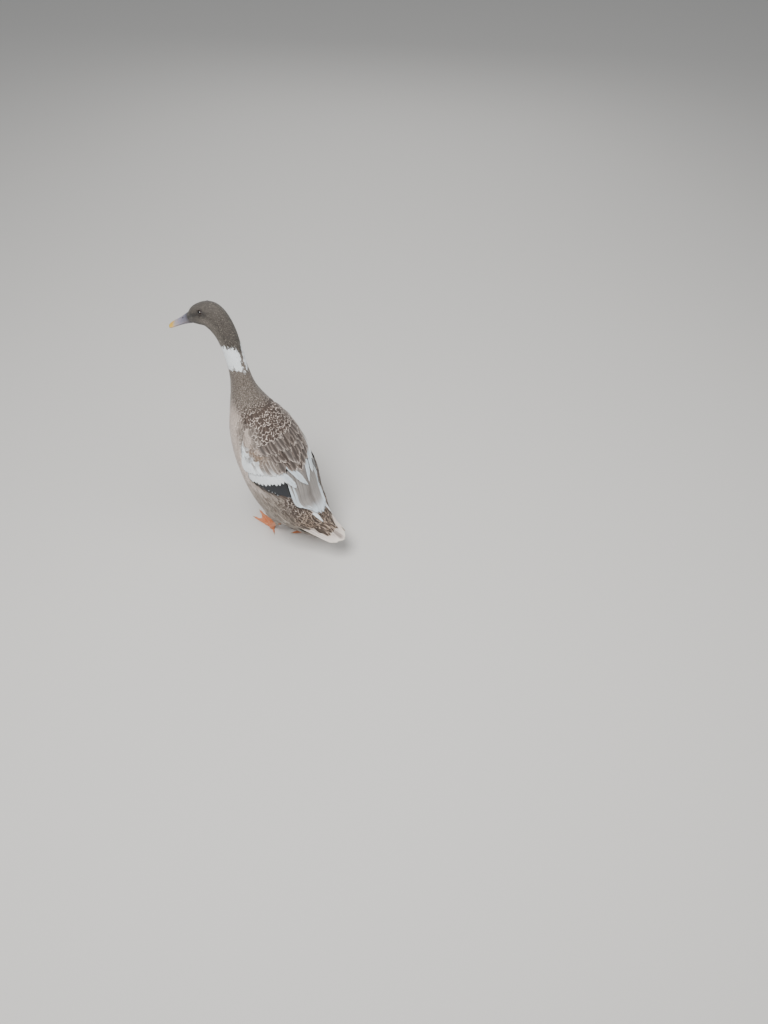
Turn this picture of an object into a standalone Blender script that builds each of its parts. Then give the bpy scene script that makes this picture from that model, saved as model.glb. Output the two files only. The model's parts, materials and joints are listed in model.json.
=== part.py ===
"""An indian runner duck, life size, standing still in mid step.

The duck faces -Y, its left side is +X and it stands on the floor at z = 0.
The whole outline comes from one curved skin, lofted over the stations of the spine from the tail to
the brow. Every sub-part is cut from that skin or placed on it by the skin's own coordinates:
t counts the stations, a is the angle round the spine from the back (0) over the duck's left side
(+90 degrees) to the belly (180 degrees), and h is the height over the skin.
"""

import math

import bmesh
import bpy
import numpy as np
from mathutils import Vector

GAP = 0.0003

# Spine stations: forward of the hip line, height, half width, back radius, belly radius
STATIONS = {
    "tail_tip": (-0.242, 0.085, 0.012, 0.003, 0.003),
    "tail_mid": (-0.218, 0.088, 0.024, 0.006, 0.006),
    "tail_end": (-0.194, 0.092, 0.031, 0.014, 0.017),
    "tail_root": (-0.165, 0.100, 0.042, 0.028, 0.036),
    "vent": (-0.127, 0.120, 0.061, 0.047, 0.061),
    "rump": (-0.091, 0.150, 0.077, 0.064, 0.079),
    "belly": (-0.067, 0.197, 0.085, 0.077, 0.088),
    "middle": (-0.046, 0.252, 0.085, 0.080, 0.088),
    "breast": (-0.025, 0.307, 0.079, 0.073, 0.080),
    "crop": (-0.005, 0.356, 0.064, 0.058, 0.066),
    "neck_base": (0.009, 0.401, 0.043, 0.041, 0.046),
    "neck_low": (0.018, 0.445, 0.027, 0.030, 0.029),
    "neck_mid": (0.023, 0.489, 0.0205, 0.0235, 0.0205),
    "neck_high": (0.034, 0.532, 0.0200, 0.0225, 0.0180),
    "nape": (0.052, 0.574, 0.0220, 0.0275, 0.0190),
    "crown": (0.076, 0.604, 0.0245, 0.0290, 0.0220),
    "brow": (0.1045, 0.6015, 0.0215, 0.0205, 0.0205),
    "bill_base": (0.128, 0.588, 0.0135, 0.0115, 0.0125),
    "bill_mid": (0.158, 0.572, 0.0110, 0.0055, 0.0085),
    "bill_tip": (0.190, 0.556, 0.0090, 0.0020, 0.0045),
}
ROWS = np.array(list(STATIONS.values()))
LAST = len(ROWS) - 1
# A section stands across the spine as it runs this many stations to either side of it, so that
# sections don't cross each other at the throat
LEAN_REACH = 0.8

# The head looks to the duck's left of its own heading: it turns with the upper neck
HEAD_TURN = math.radians(18.0)
TURN_FROM, TURN_TO = 12.0, 15.5
TURN_AXIS_FORWARD = 0.086

# Where the trunk is parted from the tail, the neck and the head, in stations
TAIL_CUT, NECK_CUT, RING_CUT, HEAD_CUT, BILL_CUT = 3.0, 10.3, 12.2, 13.9, 16.85

# The folded wing lies in a shallow bed, so that its top keeps the outline of the trunk
BED_DEPTH = 0.007
BED_SLOPE = 0.013
BED_END, BED_FULL = 3.0, 4.2
# The trunk's stations lie about this far apart
STATION_STEP = 0.052
# Degrees that the right wing's tip lies further from the middle of the back, between two stations
RIGHT_SPLAY = 14.0
SPLAY_FROM, SPLAY_FULL = 5.6, 4.0
# Edges of the folded wing, in degrees from the middle of the back: station, upper edge, lower edge
WING_EDGES = (
    (9.6, 50, 62),
    (9.2, 42, 78),
    (8.6, 33, 89),
    (8.0, 26, 95),
    (7.4, 20, 98),
    (6.8, 15, 92),
    (6.2, 11, 76),
    (5.6, 9, 58),
    (5.0, 7, 47),
    (4.4, 6, 38),
    (3.8, 6, 31),
    (3.2, 7, 25),
    (2.7, 9, 20),
)


def smooth(low, high, x):
    """0 at low, 1 at high, held beyond them, with an even slope at both ends."""
    k = np.clip((x - low) / (high - low), 0.0, 1.0)
    return k * k * (3.0 - 2.0 * k)


def spline(rows, t):
    """A curve through evenly counted rows, read at t."""
    t = np.clip(t, 0.0, len(rows) - 1 - 1e-9)
    i = t.astype(int)
    u = (t - i)[:, None]
    last = len(rows) - 1
    a, b = rows[np.maximum(i - 1, 0)], rows[i]
    c, d = rows[np.minimum(i + 1, last)], rows[np.minimum(i + 2, last)]
    a = np.where((i == 0)[:, None], 2 * b - c, a)
    d = np.where((i == last - 1)[:, None], 2 * c - b, d)
    straight = (c - a) * u
    bend = (2 * a - 5 * b + 4 * c - d) * u**2 + (3 * b - a - 3 * c + d) * u**3
    return b + 0.5 * (straight + bend)


def skin(t, a, h=0.0):
    """The point at station t, angle a in radians and height h over the skin, as (x, y, z)."""
    t, a, h = np.broadcast_arrays(np.asarray(t, float), a, h)
    shape = t.shape
    t, a, h = t.ravel(), a.ravel(), h.ravel()
    row = spline(ROWS, t)
    ahead = spline(ROWS[:, :2], np.minimum(t + LEAN_REACH, LAST))
    along = ahead - spline(ROWS[:, :2], np.maximum(t - LEAN_REACH, 0.0))
    along /= np.linalg.norm(along, axis=1)[:, None]
    radius = np.where(np.cos(a) > 0, row[:, 3], row[:, 4])
    side = np.sin(a) * (row[:, 2] + h)
    rise = np.cos(a) * (radius + h)
    forward = row[:, 0] - along[:, 1] * rise
    height = row[:, 1] + along[:, 0] * rise
    turn = smooth(TURN_FROM, TURN_TO, t) * HEAD_TURN
    ahead = forward - TURN_AXIS_FORWARD
    x = side * np.cos(turn) + ahead * np.sin(turn)
    forward = TURN_AXIS_FORWARD + ahead * np.cos(turn) - side * np.sin(turn)
    return np.stack([x, -forward, height], 1).reshape(*shape, 3)


def wing_edge(t, side):
    """Upper and lower edge of the folded wing at station t, in radians. The right tip lies wider."""
    rows = np.array(WING_EDGES, float)[::-1]
    upper = np.interp(t, rows[:, 0], rows[:, 1])
    lower = np.interp(t, rows[:, 0], rows[:, 2])
    splay = np.where(side > 0, 0.0, RIGHT_SPLAY) * smooth(SPLAY_FROM, SPLAY_FULL, t)
    return np.radians(upper + splay), np.radians(lower + splay)


def bed_floor(t):
    """How deep the wing's bed is at station t. It runs out before the tail."""
    return BED_DEPTH * smooth(BED_END, BED_FULL, t)


def bed(t, a):
    """How deep the trunk is drawn in under the folded wings."""
    a = (a + math.pi) % (2 * math.pi) - math.pi
    upper, lower = wing_edge(t, np.sign(a))
    radius = spline(ROWS, np.ravel(t)).reshape(*np.shape(t), 5)[..., 2]
    inside = np.minimum(np.abs(a) - upper, lower - np.abs(a)) * radius
    front = (WING_EDGES[0][0] - t) * STATION_STEP
    return bed_floor(t) * smooth(-BED_SLOPE, 0.0, np.minimum(inside, front))


def mesh_object(name, points, faces):
    mesh = bpy.data.meshes.new(name)
    mesh.from_pydata([tuple(p) for p in points], [], faces)
    mesh.validate()
    thing = bpy.data.objects.new(name, mesh)
    bpy.context.scene.collection.objects.link(thing)
    return thing


def loft(name, rings):
    """A closed body through rings of points, each ring running the same way round."""
    rings = np.asarray(rings)
    count, around = rings.shape[:2]
    faces = []
    for i in range(count - 1):
        for j in range(around):
            k = (j + 1) % around
            near, far = i * around, (i + 1) * around
            faces.append((near + j, near + k, far + k))
            faces.append((near + j, far + k, far + j))
    faces.append(tuple(reversed(range(around))))
    faces.append(tuple((count - 1) * around + j for j in range(around)))
    thing = mesh_object(name, rings.reshape(-1, 3), faces)
    turn_outward(thing)
    return thing


def turn_outward(thing):
    form = bmesh.new()
    form.from_mesh(thing.data)
    bmesh.ops.recalc_face_normals(form, faces=form.faces)
    if form.calc_volume(signed=True) < 0:
        bmesh.ops.reverse_faces(form, faces=form.faces)
    form.to_mesh(thing.data)
    form.free()


def skin_loft(name, stations, around, height):
    """A length of the skin as a closed body. height gives the height over the skin at (t, a)."""
    angles = np.linspace(0.0, 2 * math.pi, around, endpoint=False)
    t, a = np.meshgrid(np.asarray(stations, float), angles, indexing="ij")
    return loft(name, skin(t, a, height(t, a)))


def apply_boolean(thing, operation, other=None, collection=None, solver="EXACT"):
    step = thing.modifiers.new("cut", "BOOLEAN")
    step.operation = operation
    step.solver = solver
    if collection is not None:
        step.operand_type = "COLLECTION"
        step.collection = collection
    else:
        step.object = other
    graph = bpy.context.evaluated_depsgraph_get()
    made = bpy.data.meshes.new_from_object(thing.evaluated_get(graph))
    thing.modifiers.clear()
    old = thing.data
    thing.data = made
    bpy.data.meshes.remove(old)


def keep_largest(thing):
    """Keeps the largest closed surface of a body and drops scraps and sealed hollows."""
    form = bmesh.new()
    form.from_mesh(thing.data)
    bmesh.ops.triangulate(form, faces=form.faces)
    left = set(form.verts)
    shells = []
    while left:
        seed = left.pop()
        shell, edge = {seed}, [seed]
        while edge:
            for link in edge.pop().link_edges:
                for v in link.verts:
                    if v in left:
                        left.discard(v)
                        shell.add(v)
                        edge.append(v)
        shells.append(shell)
    shells.sort(key=len, reverse=True)
    scraps = [v for shell in shells[1:] for v in shell]
    bmesh.ops.delete(form, geom=scraps, context="VERTS")
    form.to_mesh(thing.data)
    form.free()


def cut_clear(thing, cutters):
    """Cuts a body clear of its neighbours' swollen copies, which are then removed."""
    for cutter in cutters:
        apply_boolean(thing, "DIFFERENCE", other=cutter)
    keep_largest(thing)


def drop(*things):
    for thing in things:
        bpy.data.objects.remove(thing)


TRUNK_STATIONS = np.r_[
    np.linspace(TAIL_CUT, 4.0, 5)[:-1],
    np.linspace(4.0, 9.6, 15)[:-1],
    np.linspace(9.6, NECK_CUT, 4),
]
TRUNK_AROUND = 36
# A station step along the spine that opens a gap of 0.3 mm, at the tail root and along the neck
TAIL_GAP_STEP, NECK_GAP_STEP = 0.010, 0.007


def make_trunk(name, swell=0.0):
    """The trunk without wings and tail. With swell it is the cutter that clears what lies on it."""
    stations = TRUNK_STATIONS.copy()
    if swell:
        stations[0] -= 2 * TAIL_GAP_STEP
    return skin_loft(name, stations, TRUNK_AROUND, lambda t, a: swell - bed(t, a))


def make_rump(name, swell=0.0, short=False):
    """The flesh and coverts of the tail: the whole cone out to its tip, or its fleshy part only."""
    front = TAIL_CUT + TAIL_GAP_STEP * (1 if swell else -1)
    if short:
        stations = np.linspace(RUMP_END, front, 7)
        return skin_loft(name, stations, 20, lambda t, a: -RUMP_DRAWN_IN * (1 - smooth(RUMP_END, 2.0, t)))
    stations = np.r_[np.linspace(0.0, 2.0, 6)[:-1], np.linspace(2.0, front, 6)]
    return skin_loft(name, stations, 24, lambda t, a: swell + 0.0 * t)


# Where the tail's flesh ends and how far it is drawn in there
RUMP_END, RUMP_DRAWN_IN = 1.2, 0.0065
# A vane is a thin blade with a midrib: shares of its length, of its half width and of its thickness
VANE_SHARES = (0.0, 0.40, 0.82, 1.0)
VANE_WIDTHS = (0.62, 1.00, 0.86, 0.22)
LONG_SHARES = (0.0, 0.28, 0.55, 0.82, 1.0)
LONG_WIDTHS = (0.60, 0.90, 1.00, 0.82, 0.16)
RIB_THICK, EDGE_THICK = 0.0008, 0.0005
# Neighbouring vanes lie this far apart in height where they overlap, midrib to midrib
LAYER = 0.0012
MOST_TILT = 0.22

# Tiers of the folded wing, as count, root line, tip line, half width, height over the bed at the
# root and at the tip, and how much each vane lies higher than the last.
# A line runs from its upper to its lower end, each as (station, degrees from the middle of the back)
TIERS = {
    "primary": (3, ((5.5, 28), (5.9, 48)), ((2.75, 10), (3.6, 21)), 0.0080, 0.0012, 0.0011, -0.0013),
    "secondary": (5, ((7.1, 46), (7.2, 82)), ((5.7, 40), (6.45, 74)), 0.0100, 0.0013, 0.0044, 0.0),
    "greater_covert": (5, ((7.9, 41), (7.9, 82)), ((6.70, 38), (7.15, 86)), 0.0100, 0.0024, 0.0066, 0.0),
    "median_covert": (5, ((8.5, 43), (8.5, 78)), ((7.70, 40), (7.85, 86)), 0.0100, 0.0050, 0.0086, 0.0),
    "tertial": (3, ((7.2, 25), (6.9, 38)), ((3.60, 9), (5.00, 29)), 0.0115, 0.0014, 0.0074, 0.0),
    "scapular": (3, ((8.3, 36), (8.2, 48)), ((6.90, 18), (7.30, 34)), 0.0100, 0.0020, 0.0086, 0.0),
    "white_tertial": (2, ((7.4, 27), (7.1, 38)), ((6.10, 9), (6.20, 25)), 0.0085, 0.0014, 0.0086, 0.0),
}
# A vane leaves the pad soon after its root: share of its climb that it has made at its shares
VANE_RISE, LONG_RISE = (0.0, 0.66, 0.96, 1.0), (0.0, 0.55, 0.85, 1.0, 1.0)
# The wing's fleshy pad under the vanes: station and height over the bed
PAD_HEIGHTS = (
    (4.9, 0.0011),
    (5.4, 0.0020),
    (7.0, 0.0022),
    (7.4, 0.0034),
    (8.0, 0.0044),
    (8.7, 0.0080),
    (9.6, 0.0080),
)

# The pad's inner side lies clear over the middle of the bed and is cut to it along the rim
PAD_CLEAR, PAD_RIM = 0.0009, 0.0022
# The trunk's radius under the wing, from which the spacing of its vanes is read
TRUNK_RADIUS = 0.080

# Tail: half the count of the quills, their spacing at the root and at the tip, half width,
# station of their roots, of the middle tips and how much shorter each is than the last
QUILL_PAIRS, QUILL_STEP, QUILL_TIP_STEP, QUILL_WIDTH = 5, 0.0047, 0.0038, 0.0090
QUILL_ROOT, QUILL_TIP, QUILL_SHORTER = 2.0, 0.0, 0.13
QUILL_TOP, QUILL_TOP_AT_TIP, QUILL_LAYER = 0.0040, 0.0024, 0.0011
# Tail coverts: count, root station, tip station, degrees of the outermost from the middle one,
# the middle one's angle, half width, height over the skin at root and tip
TAIL_COVERTS = {
    "upper": (5, 2.55, 1.15, 58, 0, 0.0090, -0.0020, 0.0016),
    "under": (3, 2.45, 1.00, 40, 180, 0.0095, -0.0020, 0.0016),
}


def ribbon(name, rings):
    """A closed blade through rings of six points: three over its upper face, three back under it.
    Both faces are split along the same diagonals, so that they can't cross."""
    count = len(rings)
    faces = []
    for i in range(count - 1):
        near, far = 6 * i, 6 * (i + 1)
        for j, k, up, down in ((0, 1, 5, 4), (1, 2, 4, 3)):
            faces.append((near + j, near + k, far + k))
            faces.append((near + j, far + k, far + j))
            faces.append((near + up, far + down, near + down))
            faces.append((near + up, far + up, far + down))
        for j, k in ((2, 3), (5, 0)):
            faces.append((near + j, near + k, far + k))
            faces.append((near + j, far + k, far + j))
    last = 6 * (count - 1)
    for base, order in ((0, 1), (last, -1)):
        for cap in ((0, 5, 4), (0, 4, 1), (1, 4, 3), (1, 3, 2)):
            faces.append(tuple(base + j for j in cap[::order]))
    thing = mesh_object(name, np.reshape(rings, (-1, 3)), faces)
    turn_outward(thing)
    return thing


def vane(name, root, tip, half_width, heights, tilt, side, shares=VANE_SHARES, widths=VANE_WIDTHS):
    """One feather that lies over the skin from root to tip, each given as (station, angle).
    heights holds its height over the skin at each share, tilt lifts its lower edge."""
    s = np.array(shares)
    t = root[0] + (tip[0] - root[0]) * s
    a = root[1] + (tip[1] - root[1]) * s
    step = 1e-3
    along = (skin(t + step, a, heights) - skin(t - step, a, heights)) / (2 * step)
    across = (skin(t, a + step, heights) - skin(t, a - step, heights)) / (2 * step)
    out = np.cross(along, across)
    path = along * (tip[0] - root[0]) + across * (tip[1] - root[1])
    wide = np.cross(out, path)
    wide /= np.linalg.norm(wide, axis=1)[:, None]
    wide *= np.sign(np.sum(wide * across, 1) * side)[:, None]
    tt, ta, aa = np.sum(along * along, 1), np.sum(along * across, 1), np.sum(across * across, 1)
    wt, wa = np.sum(wide * along, 1), np.sum(wide * across, 1)
    size = tt * aa - ta * ta
    dt, da = (wt * aa - wa * ta) / size, (wa * tt - wt * ta) / size
    reach = half_width * np.array(widths)
    taper = np.interp(s, [0.0, 0.8, 1.0], [1.0, 0.8, 0.5])
    rings = []
    for u, face in ((-1, 1), (0, 1), (1, 1), (1, -1), (0, -1), (-1, -1)):
        thick = (EDGE_THICK if u else RIB_THICK * taper) / 2
        height = heights + tilt * reach * u + face * thick
        rings.append(skin(t + dt * reach * u, a + da * reach * u, height))
    return ribbon(name, np.stack(rings, 1))


def wing_vanes(side, random):
    """All tiers of one folded wing."""
    made = []
    for name, (count, roots, tips, half_width, low, high, climb) in TIERS.items():
        long = name in ("primary", "tertial")
        shares, widths = (LONG_SHARES, LONG_WIDTHS) if long else (VANE_SHARES, VANE_WIDTHS)
        for k in range(count):
            share = k / (count - 1)
            root = [roots[0][j] + (roots[1][j] - roots[0][j]) * share for j in (0, 1)]
            tip = [tips[0][j] + (tips[1][j] - tips[0][j]) * share for j in (0, 1)]
            tip[0] += (root[0] - tip[0]) * random.uniform(-0.03, 0.03)
            for end in (root, tip):
                upper, lower = wing_edge(end[0], side)
                shift = upper - wing_edge(end[0], 1)[0]
                end[1] = (math.radians(end[1]) + shift) * side
            s = np.array(shares)
            t = root[0] + (tip[0] - root[0]) * s
            rise = np.array(LONG_RISE if long else VANE_RISE)
            height = low + (high - low + climb * (k - count + 1)) * rise - bed_floor(t)
            spacing = math.radians(abs(roots[1][1] - roots[0][1])) * TRUNK_RADIUS / (count - 1)
            tilt = 0.0 if climb else min(LAYER / spacing, MOST_TILT)
            width = half_width * random.uniform(0.95, 1.05)
            made.append(vane(name, root, tip, width, height, tilt, side, shares, widths))
    return made


def wing_pad(name, side):
    """The wing's pad: smooth over the shoulder, low under the vanes, ending under the long ones."""
    rows = np.array(PAD_HEIGHTS)
    lengthwise = np.linspace(rows[-1, 0], rows[0, 0], 11)
    across = np.linspace(0.0, 1.0, 6)
    t, v = np.meshgrid(lengthwise, across, indexing="ij")
    upper, lower = wing_edge(t, side)
    a = (upper + (lower - upper) * v) * side
    round_edge = np.sqrt(np.clip(1.0 - (2 * v - 1) ** 2 * 0.96, 0.0, 1.0))
    lift = np.interp(t, rows[:, 0], rows[:, 1])
    outer = lift * (0.35 + 0.65 * round_edge) - bed_floor(t)
    inner = PAD_CLEAR - PAD_RIM * (2 * v - 1) ** 2 - bed_floor(t)
    rings = np.concatenate([skin(t, a, outer), skin(t, a, inner)[:, ::-1]], 1)
    return loft(name, rings)


def make_wing(name, side):
    """The folded wing: a pad with its tiers of vanes, cut clear of the trunk and the tail."""
    random = np.random.default_rng(7 if side > 0 else 8)
    wing = wing_pad(name, side)
    fuse(name, wing, wing_vanes(side, random))
    cutters = [make_trunk("trunk_cutter", GAP), make_rump("tail_cutter", GAP)]
    cut_clear(wing, cutters)
    drop(*cutters)
    return wing


def tail_quill(name, k, random):
    """One quill of the fan. k counts from the middle, negative on the duck's right side."""
    reach = abs(k)
    tip = QUILL_TIP + QUILL_SHORTER * (reach - 0.5) * random.uniform(0.94, 1.06)
    level = reach - 0.5 + (0.0 if k > 0 else 1.0)
    rings = []
    for s, width in zip(LONG_SHARES, LONG_WIDTHS):
        centre, forward, left, up = frame_at(QUILL_ROOT + (tip - QUILL_ROOT) * s)
        x = k * (QUILL_STEP + (QUILL_TIP_STEP - QUILL_STEP) * s)
        z = QUILL_TOP + (QUILL_TOP_AT_TIP - QUILL_TOP) * s - level * QUILL_LAYER
        half = QUILL_WIDTH * width
        thick = (RIB_THICK * (1 - 0.4 * s) / 2, EDGE_THICK / 2)
        ring = []
        for u, face in ((-1, 1), (0, 1), (1, 1), (1, -1), (0, -1), (-1, -1)):
            ring.append(centre + left * (x + u * half) + up * (z + face * thick[abs(u)]))
        rings.append(ring)
    return ribbon(name, np.array(rings))


def tail_coverts(name, random):
    """One row of coverts that fan over or under the quills."""
    count, root, tip, spread, middle, half_width, low, high = TAIL_COVERTS[name]
    made = []
    for k in range(count):
        share = 2 * k / (count - 1) - 1
        a = math.radians(middle + spread * share)
        end = tip + 0.25 * abs(share) + random.uniform(-0.05, 0.05)
        heights = low + (high - low) * np.array(VANE_RISE)
        tilt = -0.10 * np.sign(share)
        made.append(vane(name, (root, a), (end, a), half_width, heights, tilt, 1))
    return made


def make_tail(name):
    """The tail: its fleshy cone, the fan of quills and the coverts above and below them."""
    random = np.random.default_rng(9)
    tail = make_rump(name, short=True)
    vanes = [tail_quill("quill", k + 0.5, random) for k in range(-QUILL_PAIRS, QUILL_PAIRS)]
    vanes += tail_coverts("upper", random) + tail_coverts("under", random)
    fuse(name, tail, vanes)
    return tail


def neck_length(name, low, high, rings):
    """A length of the neck between two stations."""
    return skin_loft(name, np.linspace(low, high, rings), 22, lambda t, a: 0.0 * t)


# The head: station and angle of the eye, its radius and how deep its centre sits under the skin
EYE_STATION, EYE_ANGLE = 15.50, math.radians(52)
EYE_RADIUS, EYE_DEPTH = 0.0058, 0.0034
# The pad of the lids: half length, half height, half thickness, and how deep its middle sits
LID_SIZES, LID_SUNK = (0.0078, 0.0063, 0.0026), 0.0012
CHEEK_FULL, LORE_HOLLOW, BROW_RIDGE = 0.0022, 0.0016, 0.0008


def bump(value, centre, width):
    return np.exp(-(((value - centre) / width) ** 2))


def head_relief(t, a):
    """Full cheeks, a hollow lore between eye and bill and a low ridge over the eye."""
    a = np.abs((a + math.pi) % (2 * math.pi) - math.pi)
    cheek = CHEEK_FULL * bump(t, 15.1, 0.8) * bump(a, math.radians(108), 0.55)
    lore = LORE_HOLLOW * bump(t, 16.35, 0.35) * bump(a, math.radians(72), 0.40)
    ridge = BROW_RIDGE * bump(t, 15.8, 0.5) * bump(a, math.radians(40), 0.22)
    return cheek - lore + ridge


def frame_at(t):
    """Centre of the section at station t, with forward, left and up square to one another."""
    left_side, right_side, back, belly = skin([t] * 4, [math.pi / 2, -math.pi / 2, 0.0, math.pi])
    left = (left_side - right_side) / np.linalg.norm(left_side - right_side)
    up = (back - belly) / np.linalg.norm(back - belly)
    return (left_side + right_side) / 2, np.cross(left, up), left, up


def eye_place(side):
    """Centre of the eyeball and the direction it looks."""
    point = skin([EYE_STATION], [EYE_ANGLE * side])[0]
    ahead = skin([EYE_STATION + 0.1], [EYE_ANGLE * side])[0] - point
    up = skin([EYE_STATION], [(EYE_ANGLE - 0.1) * side])[0] - point
    out = np.cross(up, ahead) * -side
    out /= np.linalg.norm(out)
    if out[0] * side < 0:
        out = -out
    ahead -= out * (ahead @ out)
    ahead /= np.linalg.norm(ahead)
    return point - out * EYE_DEPTH, out, ahead


def ball(name, centre, radius, rings=8, around=14):
    """A closed ball, also the cutter for its socket."""
    lat = np.linspace(0.06, math.pi - 0.06, rings)
    lon = np.linspace(0.0, 2 * math.pi, around, endpoint=False)
    u, v = np.meshgrid(lat, lon, indexing="ij")
    points = np.stack([np.sin(u) * np.cos(v), np.sin(u) * np.sin(v), np.cos(u)], -1)
    return loft(name, centre + radius * points)


def stretched_ball(name, centre, axes, sizes, rings=7, around=14):
    """A ball stretched along three directions."""
    ball_mesh = ball(name, np.zeros(3), 1.0, rings, around)
    for v in ball_mesh.data.vertices:
        c = np.array(v.co)
        v.co = Vector(centre + sum(axes[k] * c[k] * sizes[k] for k in range(3)))
    turn_outward(ball_mesh)
    return ball_mesh


def lid_pad(name, side):
    """Both lids as a low almond pad. The socket cut through it leaves their rims round the eye."""
    centre, out, ahead = eye_place(side)
    up = np.cross(out, ahead) * side
    middle = centre + out * (EYE_DEPTH - LID_SUNK)
    return stretched_ball(name, middle, (ahead, up, out), LID_SIZES)


def box_along(name, centre, axes, sizes):
    """A box round centre with its sides along three directions."""
    corners = []
    for i in (-0.5, 0.5):
        corners.append([
            centre + axes[0] * sizes[0] * i + axes[1] * sizes[1] * j + axes[2] * sizes[2] * k
            for j, k in ((-0.5, -0.5), (0.5, -0.5), (0.5, 0.5), (-0.5, 0.5))
        ])
    return loft(name, corners)


def fuse(name, base, pieces):
    """Joins closed pieces to a base in one union and keeps one closed body."""
    group = bpy.data.collections.new(name + "_pieces")
    bpy.context.scene.collection.children.link(group)
    for piece in pieces:
        bpy.context.scene.collection.objects.unlink(piece)
        group.objects.link(piece)
    apply_boolean(base, "UNION", collection=group)
    drop(*pieces)
    bpy.data.collections.remove(group)
    keep_largest(base)
    return base


# The bill: length from the feathers to the tip, and its form at shares of that length:
# share, half width, ridge over the axis, mouth under the axis, chin under the axis
BILL_LENGTH = 0.067
BILL_SHAPE = (
    (0.00, 0.0122, 0.0108, 0.0030, 0.0112),
    (0.14, 0.0112, 0.0092, 0.0036, 0.0098),
    (0.32, 0.0102, 0.0066, 0.0040, 0.0082),
    (0.52, 0.0102, 0.0044, 0.0038, 0.0072),
    (0.72, 0.0110, 0.0028, 0.0036, 0.0064),
    (0.86, 0.0108, 0.0016, 0.0038, 0.0062),
    (0.95, 0.0080, 0.0004, 0.0042, 0.0060),
    (1.00, 0.0040, -0.0012, 0.0048, 0.0058),
)
NAIL_FROM = 0.90
NOSTRIL_SHARE, NOSTRIL_SIDE, NOSTRIL_RISE = 0.24, 0.0066, 0.72
NOSTRIL_LONG, NOSTRIL_DEEP, NOSTRIL_HIGH = 0.0036, 0.0022, 0.0012
GAPE_DEPTH, GAPE_HIGH = 0.007, 0.0008
HEAD_WIDTH = 0.040


def bill_sizes(share):
    rows = np.array(BILL_SHAPE)
    return [np.interp(share, rows[:, 0], rows[:, k]) for k in range(1, 5)]


def bill_ring(share, upper, around=20):
    """One section of the upper or the lower half of the bill."""
    centre, forward, left, up = frame_at(BILL_CUT)
    width, ridge, mouth, chin = bill_sizes(share)
    turns = np.linspace(0.0, 2 * math.pi, around, endpoint=False)
    x, y = np.cos(turns), np.sin(turns)
    if upper:
        rise = np.where(y > 0, (ridge + mouth) * np.abs(y) ** 0.9, -0.0005 * np.abs(y))
        height = rise - mouth
    else:
        width *= 0.94
        fall = np.where(y > 0, 0.0, (chin - mouth) * np.abs(y) ** 0.8)
        height = -mouth - 0.0011 - fall + 0.0003 * (y > 0)
    base = centre + forward * (GAP + share * BILL_LENGTH)
    return base + np.outer(x * width, left) + np.outer(height, up)


def make_bill():
    """Upper and lower bill, the horny nail at the tip, nostrils and the line of the mouth."""
    shares = np.array([0.0, 0.08, 0.16, 0.24, 0.32, 0.42, 0.52, 0.62, 0.72, 0.80, 0.86, NAIL_FROM])
    upper = loft("bill_upper", [bill_ring(k, True) for k in shares])
    nail_gap = NAIL_FROM + GAP / BILL_LENGTH
    loft("bill_nail", [bill_ring(k, True) for k in (nail_gap, 0.93, 0.96, 0.985, 1.0)])
    low_shares = np.r_[shares[:-1], 0.90, 0.93]
    loft("bill_lower", [bill_ring(k, False) for k in low_shares])
    centre, forward, left, up = frame_at(BILL_CUT)
    cutters = []
    for side in (1, -1):
        ridge = bill_sizes(NOSTRIL_SHARE)[1]
        middle = centre + forward * NOSTRIL_SHARE * BILL_LENGTH
        middle = middle + left * NOSTRIL_SIDE * side + up * ridge * NOSTRIL_RISE
        sizes = (NOSTRIL_LONG, NOSTRIL_DEEP, NOSTRIL_HIGH)
        hole = stretched_ball("nostril", middle, (forward, left, up), sizes, 5, 8)
        cutters.append(hole)
    cut_clear(upper, cutters)
    drop(*cutters)


def make_head():
    """The head with lids, eye sockets and the corners of the mouth, and the two eyes."""
    stations = np.linspace(HEAD_CUT + NECK_GAP_STEP, BILL_CUT, 16)
    head = skin_loft("head", stations, 30, head_relief)
    fuse("head", head, [lid_pad("lid_left", 1), lid_pad("lid_right", -1)])
    cutters = []
    for side in (1, -1):
        centre, _, _ = eye_place(side)
        cutters.append(ball("socket", centre, EYE_RADIUS + GAP))
    centre, forward, left, up = frame_at(BILL_CUT)
    mouth = bill_sizes(0.0)[2]
    middle = centre - forward * (GAPE_DEPTH / 2 - 0.001) - up * (mouth + 0.0006)
    sizes = (GAPE_DEPTH + 0.002, 2 * HEAD_WIDTH, GAPE_HIGH)
    cutters.append(box_along("gape", middle, (forward, left, up), sizes))
    cut_clear(head, cutters)
    drop(*cutters)
    for name, side in (("eye_left", 1), ("eye_right", -1)):
        ball(name, eye_place(side)[0], EYE_RADIUS)


# Legs: where the thigh leaves the trunk, the hock and the ankle joint over the toes, and how far
# the foot turns towards the middle; (x, forward, height)
LEGS = {
    "left": (1, (0.044, -0.046, 0.140), (0.040, -0.060, 0.066), (0.028, -0.024, 0.0125), 20),
    "right": (-1, (-0.040, -0.098, 0.130), (-0.036, -0.142, 0.060), (-0.024, -0.112, 0.0125), 20),
}
# Toes: angle outward of the middle toe, length, radius at the root
TOES = (("outer", 21, 0.061, 0.0036), ("middle", 0, 0.067, 0.0038), ("inner", -24, 0.050, 0.0034))
CLAW_LENGTH = 0.0065
# The web: where it starts on the sole, its thickness and height, and how far it reaches along the
# toes and draws back between them, as shares of their length
WEB_START, WEB_THICK, WEB_LOW = 0.0013, 0.0012, 0.0008
WEB_REACH, WEB_HOLLOW = 0.93, 0.22
HIND_TOE = ("hind", 160, 0.017, 0.0026)
# The root of the foot under the ankle: forward, down, half width and half depth
FOOT_ROOT = ((0.0, GAP, 0.0056, 0.0062), (0.001, 0.005, 0.0062, 0.0074), (0.003, 0.0105, 0.0066, 0.0082))
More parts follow.
